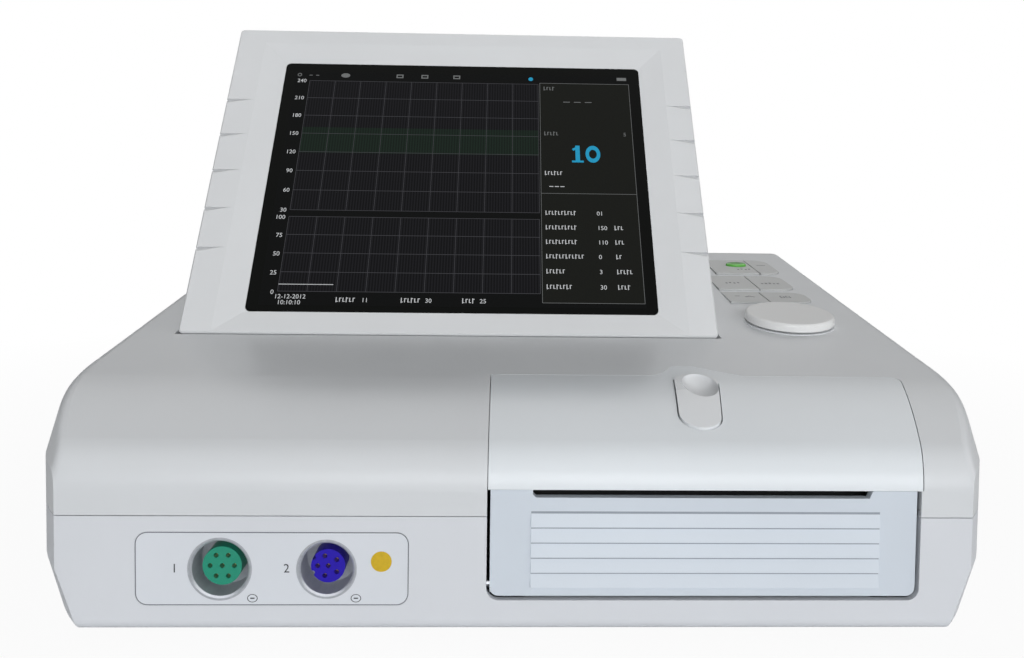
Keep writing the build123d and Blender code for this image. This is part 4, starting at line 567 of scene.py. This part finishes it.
def corner(bm, plane, x, y, start):
    """Quarter ring of a rounded outline."""
    before = set(bm.faces)
    middle = plane @ Matrix.Translation(Vector((x, y, 0)) * MM)
    place = middle @ Matrix.Rotation(math.radians(start), 4, "Z")
    ends = [bm.verts.new(place @ Vector((r * MM, 0, 0))) for r in (LABEL_R - LABEL_LINE, LABEL_R)]
    edge = bm.edges.new(ends)
    bmesh.ops.spin(bm, geom=[edge] + ends, cent=place.translation, axis=upward(place),
                   angle=math.radians(90), steps=8)
    raise_print(bm, before, place)


def key_markings():
    """Small plain symbols printed on the keys."""
    def dash(bm, plane):
        bar(bm, plane, -2.6, 2.6, -0.5, 0.5)

    def wave(bm, plane):
        for k in range(4):
            bar(bm, plane, -4.0 + 2.2 * k, -2.9 + 2.2 * k, -1.4 + (k % 2), 0.6 + (k % 2))

    def columns(bm, plane):
        for k in range(5):
            bar(bm, plane, -5.2 + 2.2 * k, -3.9 + 2.2 * k, -1.6, 0.2 + 0.7 * (k % 3))

    def peak(bm, plane):
        bar(bm, plane, -5.4, -2.8, 0.4, 1.2)
        left = plane @ Matrix.Rotation(math.radians(38), 4, "Z")
        right = plane @ Matrix.Rotation(math.radians(-38), 4, "Z")
        bar(bm, left, -1.2, 2.6, -1.2, -0.3)
        bar(bm, right, 1.4, 4.6, 1.2, 2.1)

    def pages(bm, plane):
        for x in (-2.6, 0.4):
            bar(bm, plane, x, x + 2.4, -2.2, 2.2)
            bar(bm, plane, x + 0.55, x + 1.85, -1.4, 1.4, 1, PRINT_T)

    places = (("key_rear_left", 134.5, 76.0, wave), ("key_rear_right", 147.8, 88.0, dash),
              ("key_middle_left", 119.8, 43.5, wave), ("key_middle_right", 140.4, 43.0, columns),
              ("key_front_left", 119.5, 15.0, peak), ("key_front_right", 140.0, 14.5, pages))
    for node, x, y, draw in places:
        bm = bmesh.new()
        draw(bm, surface_plane(node, x, y))
        finish_piece(node + "_mark", bm, [INK_DARK, KEY_PLASTIC], node)


# ---------------------------------------------------------------- stage, lights, camera
WHITE = (1.0, 1.0, 1.0, 1.0)
AMBIENT = 0.62
AMBIENT_OVERHEAD = 0.07
SHEEN_LOW = 0.15
SHEEN_HIGH = 2.4
FLOOR_HALF = 6.0
FLOOR_GLOW = 0.94
LAMPS = (
    ("front_lamp", (0.3, -2.6, 0.62), (0.0, 0.0, 0.06), (2.6, 1.2), 43.0, (0.95, 0.975, 1.0), True),
    ("side_lamp", (2.2, -0.6, 0.9), (0.05, 0.0, 0.06), (1.2, 1.2), 8.0, (1.0, 0.99, 0.97), True),
    ("rear_lamp", (-0.5, 2.7, 0.3), (0.0, 0.0, 0.08), (2.6, 0.4), 30.0, (0.98, 0.99, 1.0), False),
)


def ray_kinds(tree, *kinds):
    """1 for the named kinds of ray, else 0."""
    path = tree.nodes.new("ShaderNodeLightPath")
    total = path.outputs[kinds[0]]
    for kind in kinds[1:]:
        total = reckon(tree, "MAXIMUM", total, path.outputs[kind])
    return total


def white_light(tree, strength):
    """White background whose strength is another node's value."""
    node = tree.nodes.new("ShaderNodeBackground")
    node.inputs["Color"].default_value = WHITE
    tree.links.new(strength, node.inputs["Strength"])
    return node.outputs[0]


def mixed(tree, factor, first, second):
    """The first shader where the factor is 0, the second where it is 1."""
    node = tree.nodes.new("ShaderNodeMixShader")
    tree.links.new(factor, node.inputs["Fac"])
    tree.links.new(first, node.inputs[1])
    tree.links.new(second, node.inputs[2])
    return node.outputs[0]


def white_world():
    """White where it is seen, softer where it lights the object, brighter overhead in reflections."""
    world = bpy.data.worlds.new("studio")
    bpy.context.scene.world = world
    world.use_nodes = True
    tree = world.node_tree
    place = tree.nodes.new("ShaderNodeTexCoord")
    parts = tree.nodes.new("ShaderNodeSeparateXYZ")
    tree.links.new(place.outputs["Generated"], parts.inputs[0])
    height = parts.outputs["Z"]
    lit = white_light(tree, spread(tree, height, AMBIENT, AMBIENT_OVERHEAD, 0.0, 0.8))
    mirrored = white_light(tree, spread(tree, height, SHEEN_LOW, SHEEN_HIGH, 0.3, 0.7))
    gloss = mixed(tree, ray_kinds(tree, "Is Glossy Ray"), lit, mirrored)
    seen = tree.nodes["Background"]
    seen.inputs["Color"].default_value = WHITE
    seen.inputs["Strength"].default_value = 1.0
    studio = mixed(tree, ray_kinds(tree, "Is Camera Ray", "Is Transmission Ray"), gloss, seen.outputs[0])
    tree.links.new(studio, tree.nodes["World Output"].inputs["Surface"])


def pale_floor():
    """Floor that keeps the object's soft shadow and fades to white further out."""
    bm = bmesh.new()
    bmesh.ops.create_grid(bm, x_segments=1, y_segments=1, size=FLOOR_HALF)
    mesh = bpy.data.meshes.new("floor")
    bm.to_mesh(mesh)
    bm.free()
    floor = bpy.data.objects.new("floor", mesh)
    bpy.context.scene.collection.objects.link(floor)
    material, tree, shader = start_material("pale_floor")
    shader.inputs["Base Color"].default_value = (0.86, 0.86, 0.86, 1.0)
    shader.inputs["Roughness"].default_value = 0.9
    shader.inputs["Specular IOR Level"].default_value = 0.1
    glow = tree.nodes.new("ShaderNodeEmission")
    place = tree.nodes.new("ShaderNodeTexCoord")
    reach = tree.nodes.new("ShaderNodeVectorMath")
    reach.operation = "LENGTH"
    tree.links.new(place.outputs["Object"], reach.inputs[0])
    fade = spread(tree, reach.outputs["Value"], FLOOR_GLOW, 1.0, 0.22, 0.62)
    seen = reckon(tree, "MULTIPLY", ray_kinds(tree, "Is Camera Ray", "Is Transmission Ray"), fade)
    surface = mixed(tree, seen, shader.outputs[0], glow.outputs[0])
    tree.links.new(surface, tree.nodes["Material Output"].inputs["Surface"])
    mesh.materials.append(material)


def soft_lamp(name, place, aim, size, power, colour, mirrored):
    """Large area lamp pointed at a spot, with or without its reflection; places in metres."""
    data = bpy.data.lights.new(name, "AREA")
    data.shape = "RECTANGLE"
    data.size, data.size_y = size
    data.energy = power
    data.color = colour
    lamp = bpy.data.objects.new(name, data)
    lamp.visible_glossy = mirrored
    lamp.location = place
    lamp.rotation_euler = (Vector(aim) - Vector(place)).to_track_quat("-Z", "Y").to_euler()
    bpy.context.scene.collection.objects.link(lamp)


def view_camera():
    """Camera at its viewing place, with its lens axis off the frame's middle."""
    yaw, pitch, roll = (math.radians(a) for a in (YAW, PITCH, ROLL))
    forward = Vector((math.sin(yaw) * math.cos(pitch), math.cos(yaw) * math.cos(pitch), -math.sin(pitch)))
    level = Vector((math.cos(yaw), -math.sin(yaw), 0.0))
    down = forward.cross(level)
    right = math.cos(roll) * level - math.sin(roll) * down
    below = math.sin(roll) * level + math.cos(roll) * down
    turn = Matrix((right, -below, -forward)).transposed().to_4x4()
    data = bpy.data.cameras.new("camera")
    data.sensor_fit = "HORIZONTAL"
    data.sensor_width = SENSOR_MM
    data.lens = FOCAL_PX / IMAGE_W * SENSOR_MM
    data.shift_x = (IMAGE_W / 2 - CENTRE_PX[0]) / IMAGE_W
    data.shift_y = (CENTRE_PX[1] - IMAGE_H / 2) / IMAGE_W
    data.clip_start = 0.01
    camera = bpy.data.objects.new("camera", data)
    camera.matrix_world = Matrix.Translation(Vector(CAMERA_MM) * MM) @ turn
    bpy.context.scene.collection.objects.link(camera)
    bpy.context.scene.camera = camera


# ---------------------------------------------------------------- finishes
INK_GREY = ink("outline_grey", srgb(120, 122, 128))
INK_DARK = ink("print_dark", srgb(52, 54, 58))
INK_YELLOW = ink("dot_yellow", srgb(206, 170, 12))
KEY_PLASTIC = moulded_plastic("key_plastic", srgb(186, 187, 186), 0.44)
TOP_PLASTIC = moulded_plastic("top_plastic", srgb(214, 216, 218), 0.36)
LOW_PLASTIC = moulded_plastic("low_plastic", srgb(216, 218, 222), 0.38)
PICTURE_MATERIALS = [
    glowing("ground_dark", srgb(12, 13, 13)),
    chart_ground("chart_dark", srgb(13, 13, 15), srgb(27, 27, 30)),
    chart_ground("band_green", srgb(19, 27, 22), srgb(26, 38, 31)),
    glowing("grid_grey", srgb(72, 72, 76)),
    glowing("figures_white", srgb(196, 198, 200)),
    glowing("figures_blue", srgb(38, 150, 190)),
    glowing("figures_dim", srgb(110, 112, 112)),
    glowing("side_dark", srgb(24, 25, 22)),
]
DARK_PLASTIC = moulded_plastic("dark_plastic", srgb(38, 39, 41), 0.45)
STEEL = turned_metal("steel", srgb(176, 178, 182))
SOCKET_METAL = turned_metal("socket_metal", srgb(186, 189, 195), 0.36, (900.0, 60.0, 900.0), 0.45)
BRASS = turned_metal("brass", srgb(196, 158, 92), 0.3)
ALUMINIUM = turned_metal("aluminium", srgb(196, 198, 200), 0.36)
RUBBER = dull_rubber("foot_rubber", srgb(38, 38, 39))
SILICONE = dull_rubber("key_silicone", srgb(150, 151, 153))
BOARD = circuit_board("board_green")
PAPER = folded_paper("chart_paper")

FINISHES = {
    "upper_casing": TOP_PLASTIC,
    "lower_casing": LOW_PLASTIC,
    "battery_cover": LOW_PLASTIC,
    "paper_tray": LOW_PLASTIC,
    "printer_cover": moulded_plastic("cover_plastic", srgb(226, 230, 233), 0.3),
    # Ribbed door moulding with painted shade in the grooves between its ribs.
    "paper_door": ribbed_plastic_painted_shade("door_plastic_painted_shade", srgb(208, 215, 223), srgb(150, 157, 166)),
    "latch_button": moulded_plastic("latch_plastic", srgb(228, 230, 232), 0.28),
    "display_bezel": moulded_plastic("bezel_plastic", srgb(214, 215, 216), 0.36),
    "display_rear_cover": moulded_plastic("rear_cover_plastic", srgb(210, 211, 213), 0.4),
    "display_glass": window_glass("window_black"),
    "control_knob": moulded_plastic("knob_plastic", srgb(228, 228, 227), 0.34),
    "indicator_lens": moulded_plastic("lens_green", srgb(84, 170, 56), 0.2, 0.000004),
    "connector_label": moulded_plastic("label_film", srgb(218, 221, 226), 0.34, 0.000006),
    "green_socket_insert": moulded_plastic("insert_green", srgb(24, 142, 114), 0.4),
    "blue_socket_insert": moulded_plastic("insert_blue", srgb(34, 8, 168), 0.45, level=0.3),
    "green_socket_shell": SOCKET_METAL,
    "blue_socket_shell": SOCKET_METAL,
    "socket_contacts": BRASS,
    "platen_bushes": BRASS,
    "motor_pinion": BRASS,
    "mains_inlet_pins": BRASS,
    "main_board": BOARD,
    "key_board": BOARD,
    "paper_pack": PAPER,
    "platen_rubber": RUBBER,
    "rubber_feet": RUBBER,
    "key_mat": SILICONE,
    "battery_pack": moulded_plastic("battery_wrap", srgb(30, 60, 112), 0.3),
    "platen_gear": moulded_plastic("gear_plastic", srgb(226, 222, 208), 0.45),
    "idler_gear": moulded_plastic("idler_plastic", srgb(226, 222, 208), 0.45),
    "power_supply": ALUMINIUM,
    "thermal_head": ALUMINIUM,
    "lcd_module": ALUMINIUM,
}
for node in ("speaker", "mains_inlet", "power_switch_frame", "power_rocker", "fuse_holders", "latch_yoke"):
    FINISHES[node] = DARK_PLASTIC
for row in ("front", "middle", "rear"):
    for column in ("left", "right"):
        FINISHES[f"key_{row}_{column}"] = KEY_PLASTIC

for node, piece in NODES.items():
    finish = FINISHES.get(node, STEEL)
    for index in range(len(piece.data.materials)):
        piece.material_slots[index].material = finish

picture()
label_markings()
key_markings()

white_world()
pale_floor()
for lamp in LAMPS:
    soft_lamp(*lamp)
view_camera()

scene = bpy.context.scene
scene.view_settings.view_transform = "Standard"
